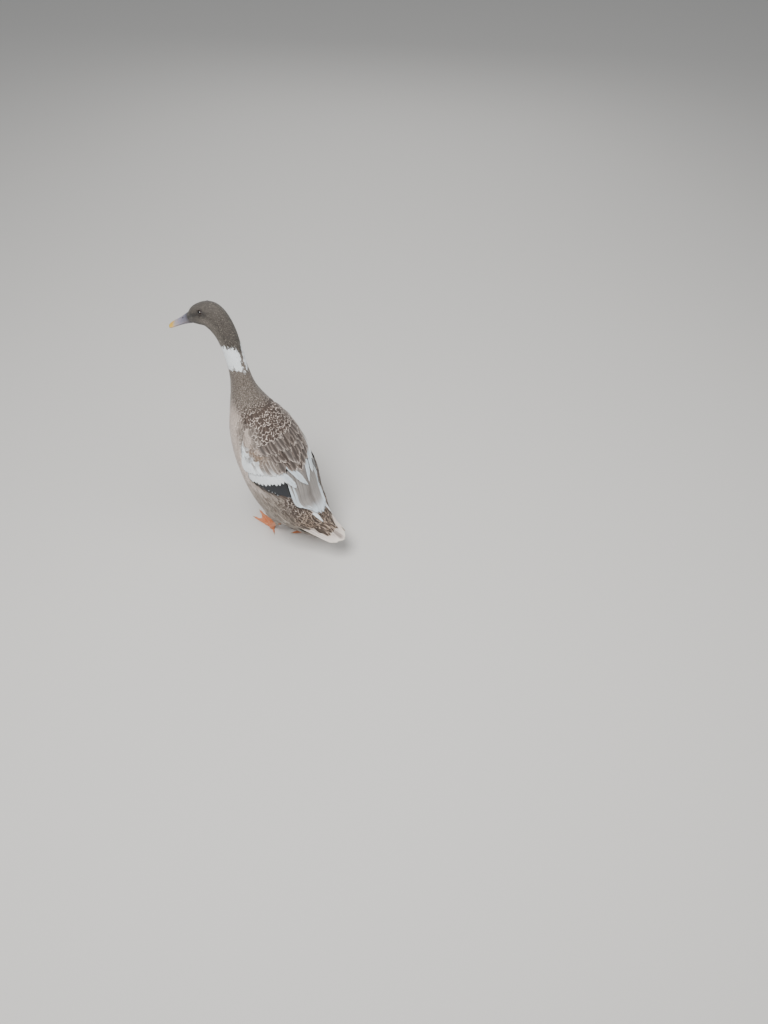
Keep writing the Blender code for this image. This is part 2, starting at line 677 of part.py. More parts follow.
# Radii along the thigh, and half widths and half depths along the shank, at shares of their length
THIGH_FORM = ((0.0, 0.026), (0.45, 0.023), (0.8, 0.0125), (1.0, 0.0085))
SHANK_FORM = (
    (0.0, 0.0062, 0.0074),
    (0.12, 0.0064, 0.0080),
    (0.3, 0.0044, 0.0058),
    (0.8, 0.0042, 0.0052),
    (1.0, 0.0056, 0.0062),
)


def tube(name, path, widths, depths, around=12, level_ends=(False, False)):
    """A closed tube along a path, with its half width across and half depth along the stride."""
    path = np.asarray(path, float)
    rings = []
    across = np.array([1.0, 0.0, 0.0])
    turns = np.linspace(0.0, 2 * math.pi, around, endpoint=False)
    for i, point in enumerate(path):
        along = path[min(i + 1, len(path) - 1)] - path[max(i - 1, 0)]
        if (i == 0 and level_ends[0]) or (i == len(path) - 1 and level_ends[1]):
            along = np.array([0.0, 0.0, 1.0 if along[2] > 0 else -1.0])
        along = along / np.linalg.norm(along)
        side = across - along * (across @ along)
        side /= np.linalg.norm(side)
        other = np.cross(along, side)
        wide = np.outer(np.cos(turns) * widths[i], side)
        rings.append(point + wide + np.outer(np.sin(turns) * depths[i], other))
    return loft(name, rings)


def place(point):
    """(x, forward, height) as (x, y, z)."""
    return np.array([point[0], -point[1], point[2]])


def make_leg(which):
    """Thigh, shank and foot of one leg."""
    side, hip, hock, ankle, turn = LEGS[which]
    hip, hock, ankle = place(hip), place(hock), place(ankle)
    shares = np.linspace(0.0, 1.0, 6)[:, None]
    thigh_path = hip + (hock - hip) * shares
    thigh_radius = np.interp(shares[:, 0], *np.transpose(THIGH_FORM))
    thigh = tube("thigh_" + which, thigh_path, thigh_radius * 0.9, thigh_radius, 12, (False, True))
    cutter = make_trunk("trunk_cutter", GAP)
    cut_clear(thigh, [cutter])
    drop(cutter)
    top = hock - np.array([0.0, 0.0, GAP])
    share = np.linspace(0.0, 1.0, 7)
    shank_path = top + (ankle - top) * share[:, None]
    form = np.array(SHANK_FORM)
    widths = np.interp(share, form[:, 0], form[:, 1])
    depths = np.interp(share, form[:, 0], form[:, 2])
    tube("shank_" + which, shank_path, widths, depths, 10, (True, True))
    make_foot(which, side, ankle, turn)


def toe_line(ankle, side, turn, angle, length, share):
    """The point at a share of a toe's length on the floor, and the way the toe points."""
    heading = math.radians((angle - turn)) * side
    start = np.array([ankle[0], ankle[1], 0.0])
    ahead = np.array([math.sin(heading), -math.cos(heading), 0.0])
    return start + ahead * length * share, ahead


def make_foot(which, side, ankle, turn):
    """Three webbed toes, the short hind toe and a claw on each, all flat on the floor."""
    path = [ankle + np.array([0.0, -ahead, -down]) for ahead, down, _, _ in FOOT_ROOT]
    widths = [row[2] for row in FOOT_ROOT]
    depths = [row[3] for row in FOOT_ROOT]
    foot = tube("foot_" + which, path, widths, depths, 12, (True, True))
    pieces = []
    for name, angle, length, radius in TOES:
        pieces += make_toe(name, ankle, side, turn, angle, length, radius)
    pieces += make_toe(HIND_TOE[0], ankle, side, turn, *HIND_TOE[1:])
    pieces.append(make_web(ankle, side, turn))
    fuse("foot_" + which, foot, pieces)


def make_toe(name, ankle, side, turn, angle, length, radius):
    shares = np.array([-0.04, 0.14, 0.3, 0.38, 0.46, 0.6, 0.68, 0.76, 1.0])
    knuckle = 1.0 + 0.16 * bump(shares, 0.38, 0.06) + 0.16 * bump(shares, 0.68, 0.06)
    radii = radius * np.interp(shares, [0.0, 1.0], [1.0, 0.66]) * knuckle
    turns = np.linspace(0.0, 2 * math.pi, 6, endpoint=False)
    rings = []
    for share, r in zip(shares, radii):
        point, ahead = toe_line(ankle, side, turn, angle, length, share)
        left = np.array([-ahead[1], ahead[0], 0.0])
        height = np.maximum(r * 0.8 + r * np.sin(turns), 0.0)
        rings.append(point + np.outer(r * np.cos(turns), left) + np.outer(height, [0, 0, 1.0]))
    toe = loft(name + "_toe", rings)
    rings = []
    end = radii[-1]
    for share, r, low in ((-0.3, 0.62, 0.75), (0.25, 0.52, 0.70), (0.65, 0.34, 0.46), (1.0, 0.10, 0.20)):
        point, ahead = toe_line(ankle, side, turn, angle, length, 1.0)
        point = point + ahead * CLAW_LENGTH * share
        left = np.array([-ahead[1], ahead[0], 0.0])
        height = end * (low + r * np.sin(turns))
        rings.append(point + np.outer(end * r * np.cos(turns), left) + np.outer(height, [0, 0, 1.0]))
    return [toe, loft(name + "_claw", rings)]


def make_web(ankle, side, turn):
    """The web between the toes, its front edge hollow between the toe tips."""
    edge = [toe_line(ankle, side, turn, 0, WEB_START, 1.0)[0]]
    for (_, first, length, _), (_, second, next_length, _) in zip(TOES, TOES[1:]):
        for k in (0.0, 0.25, 0.5, 0.75):
            angle = first + (second - first) * k
            reach = (length + (next_length - length) * k) * (WEB_REACH - WEB_HOLLOW * math.sin(math.pi * k))
            edge.append(toe_line(ankle, side, turn, angle, reach, 1.0)[0])
    edge.append(toe_line(ankle, side, turn, TOES[-1][1], TOES[-1][2] * WEB_REACH, 1.0)[0])
    edge = np.array(edge)
    rings = [edge + [0, 0, WEB_LOW], edge + [0, 0, WEB_LOW + WEB_THICK]]
    return loft("web", rings)


def stand_on_origin():
    """Moves everything so that the middle of the bounding box's floor side is the origin."""
    points = np.array([v.co for thing in bpy.data.objects for v in thing.data.vertices])
    middle = (points.min(0) + points.max(0)) / 2
    shift = Vector((-middle[0], -middle[1], -points[:, 2].min()))
    for thing in bpy.data.objects:
        for v in thing.data.vertices:
            v.co += shift


# Each node's material: colour as sRGB hex, and roughness
MATERIALS = {
    "torso": ("8a7668", 0.85),
    "thigh": ("857366", 0.85),
    "neck_lower": ("8b7a6d", 0.85),
    "neck_upper": ("b9b4b2", 0.85),
    "head": ("5a4e45", 0.80),
    "wing": ("8d8580", 0.70),
    "tail": ("c7b09f", 0.75),
    "bill_upper": ("8f8a9a", 0.40),
    "bill_lower": ("9a929c", 0.40),
    "bill_nail": ("cdb255", 0.40),
    "eye": ("1a120d", 0.08),
    "shank": ("d9814f", 0.55),
    "foot": ("dd8a58", 0.55),
}


def linear(code):
    """An sRGB hex colour as linear RGBA."""
    parts = [int(code[i:i + 2], 16) / 255 for i in (0, 2, 4)]
    return [c / 12.92 if c <= 0.04045 else ((c + 0.055) / 1.055) ** 2.4 for c in parts] + [1.0]


def paint():
    """Gives every node its own material."""
    for thing in bpy.data.objects:
        key = next(key for key in MATERIALS if thing.name.startswith(key))
        code, roughness = MATERIALS[key]
        material = bpy.data.materials.new(thing.name)
        material.use_nodes = True
        shader = material.node_tree.nodes["Principled BSDF"]
        shader.inputs["Base Color"].default_value = linear(code)
        shader.inputs["Roughness"].default_value = roughness
        shader.inputs["Metallic"].default_value = 0.0
        thing.data.materials.clear()
        thing.data.materials.append(material)


def main():
    for thing in list(bpy.data.objects):
        bpy.data.objects.remove(thing)
    make_trunk("torso")
    make_tail("tail")
    make_wing("wing_left", 1)
    make_wing("wing_right", -1)
    neck_length("neck_lower", NECK_CUT + NECK_GAP_STEP, RING_CUT, 8)
    neck_length("neck_upper", RING_CUT + NECK_GAP_STEP, HEAD_CUT, 8)
    make_head()
    make_bill()
    make_leg("left")
    make_leg("right")
    stand_on_origin()
    paint()


main()
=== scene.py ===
"""The looks of a life-size indian runner duck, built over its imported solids.

The duck faces -Y, its left side is +X. Every piece is set on the duck's skin by the skin's own
coordinates: t counts the stations of the spine from the tail to the bill, a is the angle round the
spine from the back (0) over the left side (+90 degrees) to the belly, h is the height over the skin.
"""

import json
import math

import bmesh
import bpy
import numpy as np
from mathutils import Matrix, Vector

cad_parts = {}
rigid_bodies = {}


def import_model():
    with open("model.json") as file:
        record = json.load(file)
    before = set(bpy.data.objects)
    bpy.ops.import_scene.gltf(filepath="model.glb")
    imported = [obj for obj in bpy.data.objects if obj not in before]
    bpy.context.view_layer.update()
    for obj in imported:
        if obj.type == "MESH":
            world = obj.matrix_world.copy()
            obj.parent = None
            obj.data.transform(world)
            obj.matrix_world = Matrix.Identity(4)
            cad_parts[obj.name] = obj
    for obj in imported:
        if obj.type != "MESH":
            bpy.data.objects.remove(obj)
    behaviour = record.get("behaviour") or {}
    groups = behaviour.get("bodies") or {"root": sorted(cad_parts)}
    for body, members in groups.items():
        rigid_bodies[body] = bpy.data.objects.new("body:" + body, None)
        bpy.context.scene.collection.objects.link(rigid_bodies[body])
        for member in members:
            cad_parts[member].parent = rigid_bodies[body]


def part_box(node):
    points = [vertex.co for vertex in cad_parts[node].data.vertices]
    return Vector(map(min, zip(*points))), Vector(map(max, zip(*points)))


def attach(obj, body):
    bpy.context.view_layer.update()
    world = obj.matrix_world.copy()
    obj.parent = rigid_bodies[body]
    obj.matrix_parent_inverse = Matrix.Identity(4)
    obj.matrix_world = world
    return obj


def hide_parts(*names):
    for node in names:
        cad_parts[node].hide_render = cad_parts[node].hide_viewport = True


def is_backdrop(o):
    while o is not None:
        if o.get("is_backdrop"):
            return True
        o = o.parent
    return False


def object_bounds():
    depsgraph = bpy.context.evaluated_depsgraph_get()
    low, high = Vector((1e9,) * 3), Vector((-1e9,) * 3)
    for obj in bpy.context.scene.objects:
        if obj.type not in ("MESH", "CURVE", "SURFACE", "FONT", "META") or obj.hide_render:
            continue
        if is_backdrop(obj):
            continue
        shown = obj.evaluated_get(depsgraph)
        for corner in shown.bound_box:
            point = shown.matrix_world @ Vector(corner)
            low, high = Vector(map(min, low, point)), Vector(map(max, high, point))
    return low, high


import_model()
cad_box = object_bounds()

# Spine stations: forward of the hip line, height, half width, back radius, belly radius
STATIONS = {
    "tail_tip": (-0.242, 0.085, 0.012, 0.003, 0.003),
    "tail_mid": (-0.218, 0.088, 0.024, 0.006, 0.006),
    "tail_end": (-0.194, 0.092, 0.031, 0.014, 0.017),
    "tail_root": (-0.165, 0.100, 0.042, 0.028, 0.036),
    "vent": (-0.127, 0.120, 0.061, 0.047, 0.061),
    "rump": (-0.091, 0.150, 0.077, 0.064, 0.079),
    "belly": (-0.067, 0.197, 0.085, 0.077, 0.088),
    "middle": (-0.046, 0.252, 0.085, 0.080, 0.088),
    "breast": (-0.025, 0.307, 0.079, 0.073, 0.080),
    "crop": (-0.005, 0.356, 0.064, 0.058, 0.066),
    "neck_base": (0.009, 0.401, 0.043, 0.041, 0.046),
    "neck_low": (0.018, 0.445, 0.027, 0.030, 0.029),
    "neck_mid": (0.023, 0.489, 0.0205, 0.0235, 0.0205),
    "neck_high": (0.034, 0.532, 0.0200, 0.0225, 0.0180),
    "nape": (0.052, 0.574, 0.0220, 0.0275, 0.0190),
    "crown": (0.076, 0.604, 0.0245, 0.0290, 0.0220),
    "brow": (0.1045, 0.6015, 0.0215, 0.0205, 0.0205),
    "bill_base": (0.128, 0.588, 0.0135, 0.0115, 0.0125),
    "bill_mid": (0.158, 0.572, 0.0110, 0.0055, 0.0085),
    "bill_tip": (0.190, 0.556, 0.0090, 0.0020, 0.0045),
}
ROWS = np.array(list(STATIONS.values()))
LAST = len(ROWS) - 1
# A section stands square to the line between the stations this far behind and ahead of it
LEAN_REACH = 0.8
# The head turns to the left about an upright line, between two stations of the neck
HEAD_TURN = math.radians(18.0)
TURN_FROM, TURN_TO = 12.0, 15.5
TURN_AXIS_FORWARD = 0.086
# Stations where the neck passes into the head, and the head into the bill
HEAD_FROM, HEAD_FULL = 13.6, 14.2
BILL_CUT = 16.85
# Stations that the solid of the lower neck spans
NECK_SPAN = (10.307, 12.2)
# The bed that holds a folded wing: depth, breadth of its rim, the stations where it ends and is full
BED_DEPTH, BED_SLOPE = 0.007, 0.013
BED_END, BED_FULL = 3.0, 4.2
# About the length of one station on the trunk, and the trunk's radius
STATION_STEP, TRUNK_RADIUS = 0.052, 0.080
# Degrees by which the right wing lies wider, from one station to another
RIGHT_SPLAY = 14.0
SPLAY_FROM, SPLAY_FULL = 5.6, 4.0
# Edges of the folded wing, in degrees from the middle of the back: station, upper edge, lower edge
WING_EDGES = (
    (9.6, 50, 62),
    (9.2, 42, 78),
    (8.6, 33, 89),
    (8.0, 26, 95),
    (7.4, 20, 98),
    (6.8, 15, 92),
    (6.2, 11, 76),
    (5.6, 9, 58),
    (5.0, 7, 47),
    (4.4, 6, 38),
    (3.8, 6, 31),
    (3.2, 7, 25),
    (2.7, 9, 20),
)


def smooth(low, high, x):
    """0 at low, 1 at high, held beyond them, with an even slope at both ends."""
    k = np.clip((x - low) / (high - low), 0.0, 1.0)
    return k * k * (3.0 - 2.0 * k)


def spline(rows, t):
    """A curve through evenly counted rows, read at t."""
    t = np.clip(t, 0.0, len(rows) - 1 - 1e-9)
    i = t.astype(int)
    u = (t - i)[:, None]
    last = len(rows) - 1
    a, b = rows[np.maximum(i - 1, 0)], rows[i]
    c, d = rows[np.minimum(i + 1, last)], rows[np.minimum(i + 2, last)]
    a = np.where((i == 0)[:, None], 2 * b - c, a)
    d = np.where((i == last - 1)[:, None], 2 * c - b, d)
    straight = (c - a) * u
    bend = (2 * a - 5 * b + 4 * c - d) * u**2 + (3 * b - a - 3 * c + d) * u**3
    return b + 0.5 * (straight + bend)


def bare_skin(t, a, h=0.0):
    """The point at station t, angle a in radians and height h over the skin, before it is set down."""
    t, a, h = np.broadcast_arrays(np.asarray(t, float), a, h)
    shape = t.shape
    t, a, h = t.ravel(), a.ravel(), h.ravel()
    row = spline(ROWS, t)
    ahead = spline(ROWS[:, :2], np.minimum(t + LEAN_REACH, LAST))
    along = ahead - spline(ROWS[:, :2], np.maximum(t - LEAN_REACH, 0.0))
    along /= np.linalg.norm(along, axis=1)[:, None]
    radius = np.where(np.cos(a) > 0, row[:, 3], row[:, 4])
    side = np.sin(a) * (row[:, 2] + h)
    rise = np.cos(a) * (radius + h)
    forward = row[:, 0] - along[:, 1] * rise
    height = row[:, 1] + along[:, 0] * rise
    turn = smooth(TURN_FROM, TURN_TO, t) * HEAD_TURN
    ahead = forward - TURN_AXIS_FORWARD
    x = side * np.cos(turn) + ahead * np.sin(turn)
    forward = TURN_AXIS_FORWARD + ahead * np.cos(turn) - side * np.sin(turn)
    return np.stack([x, -forward, height], 1).reshape(*shape, 3)


def floor_shift():
    """How far the solids were moved to stand on the origin, read from a length of the neck."""
    t, a = np.meshgrid(NECK_SPAN, np.linspace(0, 2 * math.pi, 22, endpoint=False), indexing="ij")
    points = bare_skin(t, a).reshape(-1, 3)
    low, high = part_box("neck_lower")
    middle = (points.min(0) + points.max(0)) / 2
    shift = (np.array(low) + np.array(high)) / 2 - middle
    shift[2] = high[2] - points[:, 2].max()
    return shift


SHIFT = floor_shift()


def skin(t, a, h=0.0):
    return bare_skin(t, a, h) + SHIFT


def wrap(a):
    """An angle between half a turn to the right and half a turn to the left of the back."""
    return (a + math.pi) % (2 * math.pi) - math.pi


def wing_edge(t, side):
    """Upper and lower edge of the folded wing at station t, in radians. The right tip lies wider."""
    rows = np.array(WING_EDGES, float)[::-1]
    upper = np.interp(t, rows[:, 0], rows[:, 1])
    lower = np.interp(t, rows[:, 0], rows[:, 2])
    splay = np.where(side > 0, 0.0, RIGHT_SPLAY) * smooth(SPLAY_FROM, SPLAY_FULL, t)
    return np.radians(upper + splay), np.radians(lower + splay)


def bed_floor(t):
    return BED_DEPTH * smooth(BED_END, BED_FULL, t)


def bed(t, a):
    """How deep the trunk is drawn in under the folded wings."""
    a = wrap(a)
    upper, lower = wing_edge(t, np.sign(a))
    radius = spline(ROWS, np.ravel(t)).reshape(*np.shape(t), 5)[..., 2]
    inside = np.minimum(np.abs(a) - upper, lower - np.abs(a)) * radius
    front = (WING_EDGES[0][0] - t) * STATION_STEP
    return bed_floor(t) * smooth(-BED_SLOPE, 0.0, np.minimum(inside, front))


def bump(value, centre, width):
    """1 at the centre, falling off evenly to both sides."""
    return np.exp(-(((value - centre) / width) ** 2))


def head_relief(t, a):
    """Full cheeks, a hollow lore between eye and bill, a low ridge over the eye, a thin bill root."""
    a = np.abs(wrap(a))
    cheek = 0.0022 * bump(t, 15.1, 0.8) * bump(a, math.radians(108), 0.55)
    lore = 0.0016 * bump(t, 16.35, 0.35) * bump(a, math.radians(72), 0.40)
    ridge = 0.0008 * bump(t, 15.8, 0.5) * bump(a, math.radians(40), 0.22)
    root = 0.0016 * smooth(16.30, BILL_CUT, t)
    return cheek - lore + ridge - root


def body_form(t, a, h=0.0):
    """The trunk, neck and head with the wings' beds and the head's relief."""
    head = smooth(HEAD_FROM, HEAD_FULL, t)
    return skin(t, a, h - bed(t, a) * (t < 10.0) + head_relief(t, a) * head)


def unit(v):
    return v / np.linalg.norm(v, axis=-1, keepdims=True)


def frame_at(t):
    """Centre of the section at station t, with forward, left and up square to one another."""
    left_side, right_side, back, belly = skin([t] * 4, [math.pi / 2, -math.pi / 2, 0.0, math.pi])
    left = unit(left_side - right_side)
    up = unit(back - belly)
    return (left_side + right_side) / 2, np.cross(left, up), left, up


def linear(code):
    """An sRGB hex colour as linear RGB."""
    parts = [int(code[i:i + 2], 16) / 255 for i in (0, 2, 4)]
    return np.array([c / 12.92 if c <= 0.04045 else ((c + 0.055) / 1.055) ** 2.4 for c in parts])


# Plumage colours as the eye names them
PALETTE = {
    name: linear(code)
    for name, code in {
        "cap": "4b453f",
        "cheek": "6b645c",
        "fleck": "a49b8f",
        "eye_stripe": "2c2825",
        "white": "e9edee",
        "blue_white": "d5dfe5",
        "neck": "6f655c",
        "neck_rim": "a89e94",
        "throat": "9d9186",
        "mantle": "4f423a",
        "mantle_rim": "d9c9bc",
        "breast": "c0b0a4",
        "breast_rim": "dccfc5",
        "flank": "94887c",
        "flank_rim": "b5a99c",
        "flank_warm": "807266",
        "flank_pale": "bbafa2",
        "belly": "9b8e83",
        "rump": "51453c",
        "rump_rim": "b9a08a",
        "covert": "83786f",
        "covert_rim": "c6bab0",
        "covert_dark": "6c6058",
        "ginger": "94785f",
        "mottle": "a7a9aa",
        "speculum": "0c0e12",
        "speculum_blue": "131c2a",
        "primary": "77716d",
        "tertial": "9b9590",
        "tertial_dark": "7d7671",
        "quill": "86776c",
        "quill_rim": "dccdc4",
        "quill_edge": "ebe3d3",
    }.items()
}


def mesh_object(name, points, faces, attributes=(), uvs=None):
    """A mesh from arrays, with attributes (name, kind, values) and an unwrap named OFBake."""
    mesh = bpy.data.meshes.new(name)
    points, faces = np.asarray(points, float), np.asarray(faces)
    mesh.vertices.add(len(points))
    mesh.vertices.foreach_set("co", points.ravel())
    if len(faces):
        mesh.loops.add(faces.size)
        mesh.loops.foreach_set("vertex_index", faces.ravel())
        mesh.polygons.add(len(faces))
        mesh.polygons.foreach_set("loop_start", np.arange(len(faces)) * faces.shape[1])
        mesh.polygons.foreach_set("use_smooth", np.ones(len(faces), bool))
    for title, kind, values in attributes:
        layer = mesh.attributes.new(title, kind, "POINT")
        field = {"FLOAT_VECTOR": "vector", "FLOAT_COLOR": "color"}.get(kind, "value")
        number = np.int32 if kind == "INT" else np.float32
        layer.data.foreach_set(field, np.ascontiguousarray(values, number).ravel())
    if uvs is not None:
        layer = mesh.uv_layers.new(name="OFBake")
        layer.data.foreach_set("uv", np.asarray(uvs, np.float32)[faces.ravel()].ravel())
    mesh.update()
    thing = bpy.data.objects.new(name, mesh)
    bpy.context.scene.collection.objects.link(thing)
    return thing


def fix_normals(thing):
    form = bmesh.new()
    form.from_mesh(thing.data)
    bmesh.ops.recalc_face_normals(form, faces=form.faces)
    if form.calc_volume(signed=True) < 0:
        bmesh.ops.reverse_faces(form, faces=form.faces)
    form.to_mesh(thing.data)
    form.free()


def grid_faces(rows, columns, closed=False):
    """Quads of a grid of rows and columns, closed round its columns where asked."""
    i = np.arange(rows - 1)[:, None]
    j = np.arange(columns if closed else columns - 1)[None, :]
    k = (j + 1) % columns
    corners = (i * columns + j, i * columns + k, (i + 1) * columns + k, (i + 1) * columns + j)
    return np.stack(np.broadcast_arrays(*corners), -1).reshape(-1, 4)


def loft(name, rings, attributes=()):
    """A closed smooth body through rings of points, each end drawn to a point at its middle."""
    rings = np.asarray(rings)
    count, around = rings.shape[:2]
    points = np.concatenate([rings.reshape(-1, 3), [rings[0].mean(0), rings[-1].mean(0)]])
    faces = grid_faces(count, around, closed=True)
    j = np.arange(around)
    k = (j + 1) % around
    first, last = count * around, count * around + 1
    near = np.stack([k, j, np.full(around, first), np.full(around, first)], 1)
    far = np.stack([j, k], 1) + (count - 1) * around
    triangles = [tuple(row[:3]) for row in near] + [(int(p), int(q), last) for p, q in far]
    mesh = bpy.data.meshes.new(name)
    mesh.from_pydata(points.tolist(), [], [tuple(map(int, f)) for f in faces] + triangles)
    for title, kind, values in attributes:
        layer = mesh.attributes.new(title, kind, "POINT")
        values = np.asarray(values, np.float32).reshape(count * around, -1)
        ends = np.stack([values[:around].mean(0), values[-around:].mean(0)])
        field = {"FLOAT_VECTOR": "vector", "FLOAT_COLOR": "color"}.get(kind, "value")
        layer.data.foreach_set(field, np.concatenate([values, ends]).ravel())
    mesh.polygons.foreach_set("use_smooth", np.ones(len(mesh.polygons), bool))
    thing = bpy.data.objects.new(name, mesh)
    bpy.context.scene.collection.objects.link(thing)
    fix_normals(thing)
    return thing


def connect(tree, node, inputs):
    """Sets inputs of a node: each takes a plain value, a socket, or the first output of a node."""
    for key, value in dict(inputs).items():
        if isinstance(value, bpy.types.Node):
            value = value.outputs[0]
        if isinstance(value, bpy.types.NodeSocket):
            tree.links.new(value, node.inputs[key])
        else:
            node.inputs[key].default_value = value


def add(tree, kind, inputs=(), **settings):
    """Adds a node with its settings and its inputs."""
    node = tree.nodes.new(kind)
    for key, value in settings.items():
        setattr(node, key, value)
    connect(tree, node, inputs)
    return node


def opaque(code):
    """An sRGB hex colour as a socket takes it."""
    return (*linear(code), 1)


def new_material(name, **values):
    """A material with a Principled shader whose plain values are set on its own sockets."""
    material = bpy.data.materials.new(name)
    material.use_nodes = True
    shader = material.node_tree.nodes["Principled BSDF"]
    connect(material.node_tree, shader, {key.replace("_", " "): value for key, value in values.items()})
    return material, material.node_tree, shader


def feather_material(name, roughness, sheen, lines, coat=0.0, bare=(-1.0, -0.5)):
    """Contour feather of keratin: a matt vane of fine barbs with a darker shaft and a pale fringe.

    It reads the feather's own place, plume: x across in half widths, y along from the root, and z
    the distance from the edge. tone is the vane's colour with the strength of the shaft streak,
    rim the fringe's colour with the fringe's width. lines is the number of clumps of barbs, and the
    fringe sets in between the two shares of the length in bare.
    """
    material, tree, shader = new_material(
        name, Roughness=roughness, Sheen_Weight=sheen, Sheen_Roughness=0.45, Coat_Weight=coat,
        Coat_Roughness=0.25, IOR=1.5,
    )
    tone, rim, plume, chance = (
        add(tree, "ShaderNodeAttribute", attribute_name=title) for title in ("tone", "rim", "plume", "chance")
    )
    x, y, edge_distance = add(tree, "ShaderNodeSeparateXYZ", {0: plume.outputs["Vector"]}).outputs
    across = add(tree, "ShaderNodeMath", {0: x}, operation="ABSOLUTE")

    # Clumps of barbs slant from the shaft to the edge, and no two feathers have the same
    slant = add(tree, "ShaderNodeMath", {0: across, 1: -0.30, 2: y}, operation="MULTIPLY_ADD")
    clump = add(tree, "ShaderNodeMath", {0: slant, 1: lines}, operation="MULTIPLY")
    spread = add(tree, "ShaderNodeMath", {0: x, 1: 2.2}, operation="MULTIPLY")
    seed = add(tree, "ShaderNodeMath", {0: chance.outputs["Fac"], 1: 90.0}, operation="MULTIPLY")
    spot = add(tree, "ShaderNodeCombineXYZ", {0: clump, 1: spread, 2: seed})
    barbs = add(tree, "ShaderNodeTexNoise", {"Vector": spot, "Scale": 1.0, "Detail": 3.0, "Roughness": 0.65})

    # The fringe follows the edge of the outer part, with a ragged inner border
    ragged = add(tree, "ShaderNodeMath", {0: barbs, 1: 0.36, 2: -0.18}, operation="MULTIPLY_ADD")
    edge = add(tree, "ShaderNodeMath", {0: edge_distance, 1: ragged}, operation="ADD")
    narrow = add(tree, "ShaderNodeMath", {0: rim.outputs["Alpha"], 1: 0.35}, operation="MULTIPLY")
    wide = add(tree, "ShaderNodeMath", {0: rim.outputs["Alpha"], 1: 1.65}, operation="MULTIPLY")
    fringe = add(tree, "ShaderNodeMapRange", {
        "Value": edge, "From Min": narrow, "From Max": wide, "To Min": 1.0, "To Max": 0.0,
    }, interpolation_type="SMOOTHSTEP")
    outer = add(tree, "ShaderNodeMapRange", {
        "Value": y, "From Min": bare[0], "From Max": bare[1],
    }, interpolation_type="SMOOTHSTEP")
    crescent = add(tree, "ShaderNodeMath", {0: fringe, 1: outer}, operation="MULTIPLY")
    coloured = add(tree, "ShaderNodeMix", {
        0: crescent, 6: tone.outputs["Color"], 7: rim.outputs["Color"],
    }, data_type="RGBA")

    # The shaft and the middle of the vane are darker, by the strength of the streak
    shaft = add(tree, "ShaderNodeMapRange", {
        "Value": across, "From Min": 0.02, "From Max": 0.22, "To Min": 1.0, "To Max": 0.0,
    })
    streak = add(tree, "ShaderNodeMath", {0: shaft, 1: tone.outputs["Alpha"]}, operation="MULTIPLY")
    centre = add(tree, "ShaderNodeMapRange", {
        "Value": edge, "From Min": 0.12, "From Max": 0.75,
    }, interpolation_type="SMOOTHSTEP")
    darker = add(tree, "ShaderNodeMath", {0: centre, 1: tone.outputs["Alpha"]}, operation="MULTIPLY")
    both = add(tree, "ShaderNodeMath", {0: darker, 1: 1.5, 2: streak}, operation="MULTIPLY_ADD")
    shade = add(tree, "ShaderNodeMath", {0: both, 1: -0.26, 2: 1.08}, operation="MULTIPLY_ADD")
    grain = add(tree, "ShaderNodeMath", {0: barbs, 1: 0.90, 2: 0.55}, operation="MULTIPLY_ADD")
    light = add(tree, "ShaderNodeMath", {0: grain, 1: shade}, operation="MULTIPLY")
    final = add(tree, "ShaderNodeVectorMath", {0: coloured.outputs[2], "Scale": light}, operation="SCALE")
    relief = add(tree, "ShaderNodeBump", {"Height": barbs, "Strength": 0.4, "Distance": 0.0002})
    connect(tree, shader, {"Base Color": final, "Normal": relief})
    return material


contour_feather = feather_material("contour feather", 0.85, 0.15, 26.0, bare=(0.58, 0.84))
tail_covert_feather = feather_material("tail covert feather", 0.85, 0.15, 26.0, bare=(0.45, 0.66))
flight_feather = feather_material("flight feather", 0.60, 0.05, 150.0)
speculum_feather = feather_material("speculum feather", 0.34, 0.0, 120.0, coat=0.5)


def down_material():
    """Down over skin, seen only in the gaps between the feathers: matt, coloured as its feathers, darkened by
    the painted shade its tone carries.
    """
    material, tree, shader = new_material("down", Roughness=0.95, Sheen_Weight=0.3)
    tone = add(tree, "ShaderNodeAttribute", attribute_name="tone")
    spot = add(tree, "ShaderNodeTexCoord").outputs["Object"]
    # Tufts about 1.4 mm across, so a scale of 1000 / 1.4
    fluff = add(tree, "ShaderNodeTexNoise", {"Vector": spot, "Scale": 700.0, "Detail": 3.0})
    grain = add(tree, "ShaderNodeMath", {0: fluff, 1: 0.7, 2: 0.5}, operation="MULTIPLY_ADD")
    final = add(tree, "ShaderNodeVectorMath", {0: tone.outputs["Color"], "Scale": grain}, operation="SCALE")
    relief = add(tree, "ShaderNodeBump", {"Height": fluff, "Strength": 0.6, "Distance": 0.0006})
    connect(tree, shader, {"Base Color": final, "Normal": relief})
    return material


down = down_material()


def ripple(t, a, scale, seed):
    """An uneven value near -1 to 1 that changes smoothly over the skin."""
    return (
        np.sin(t * scale + 3.1 * np.sin(a * 2.3 + seed))
        + np.sin(a * scale * 0.9 + 2.7 * np.sin(t * 1.9 + seed * 2))
        + np.sin((t + a) * scale * 1.7 + seed)
    ) / 3


def blend(first, second, share):
    share = np.asarray(share)[..., None]
    return first * (1 - share) + second * share


def neck_patch(t, a, ragged):
    """Where the white patch of the neck lies: both sides and the front, not the nape."""
    deg = np.degrees(np.abs(wrap(a)))
    top = np.interp(deg, [0, 19, 98, 180], [13.15, 13.29, 13.62, 13.62])
    low = np.interp(deg, [0, 31, 90, 180], [12.05, 12.36, 12.46, 12.50])
    t = t + 0.10 * ragged
    inside = smooth(low - 0.04, low + 0.06, t) * smooth(top + 0.04, top - 0.05, t)
    beside_nape = smooth(9, 17, deg + 6 * ragged)
    return inside * beside_nape


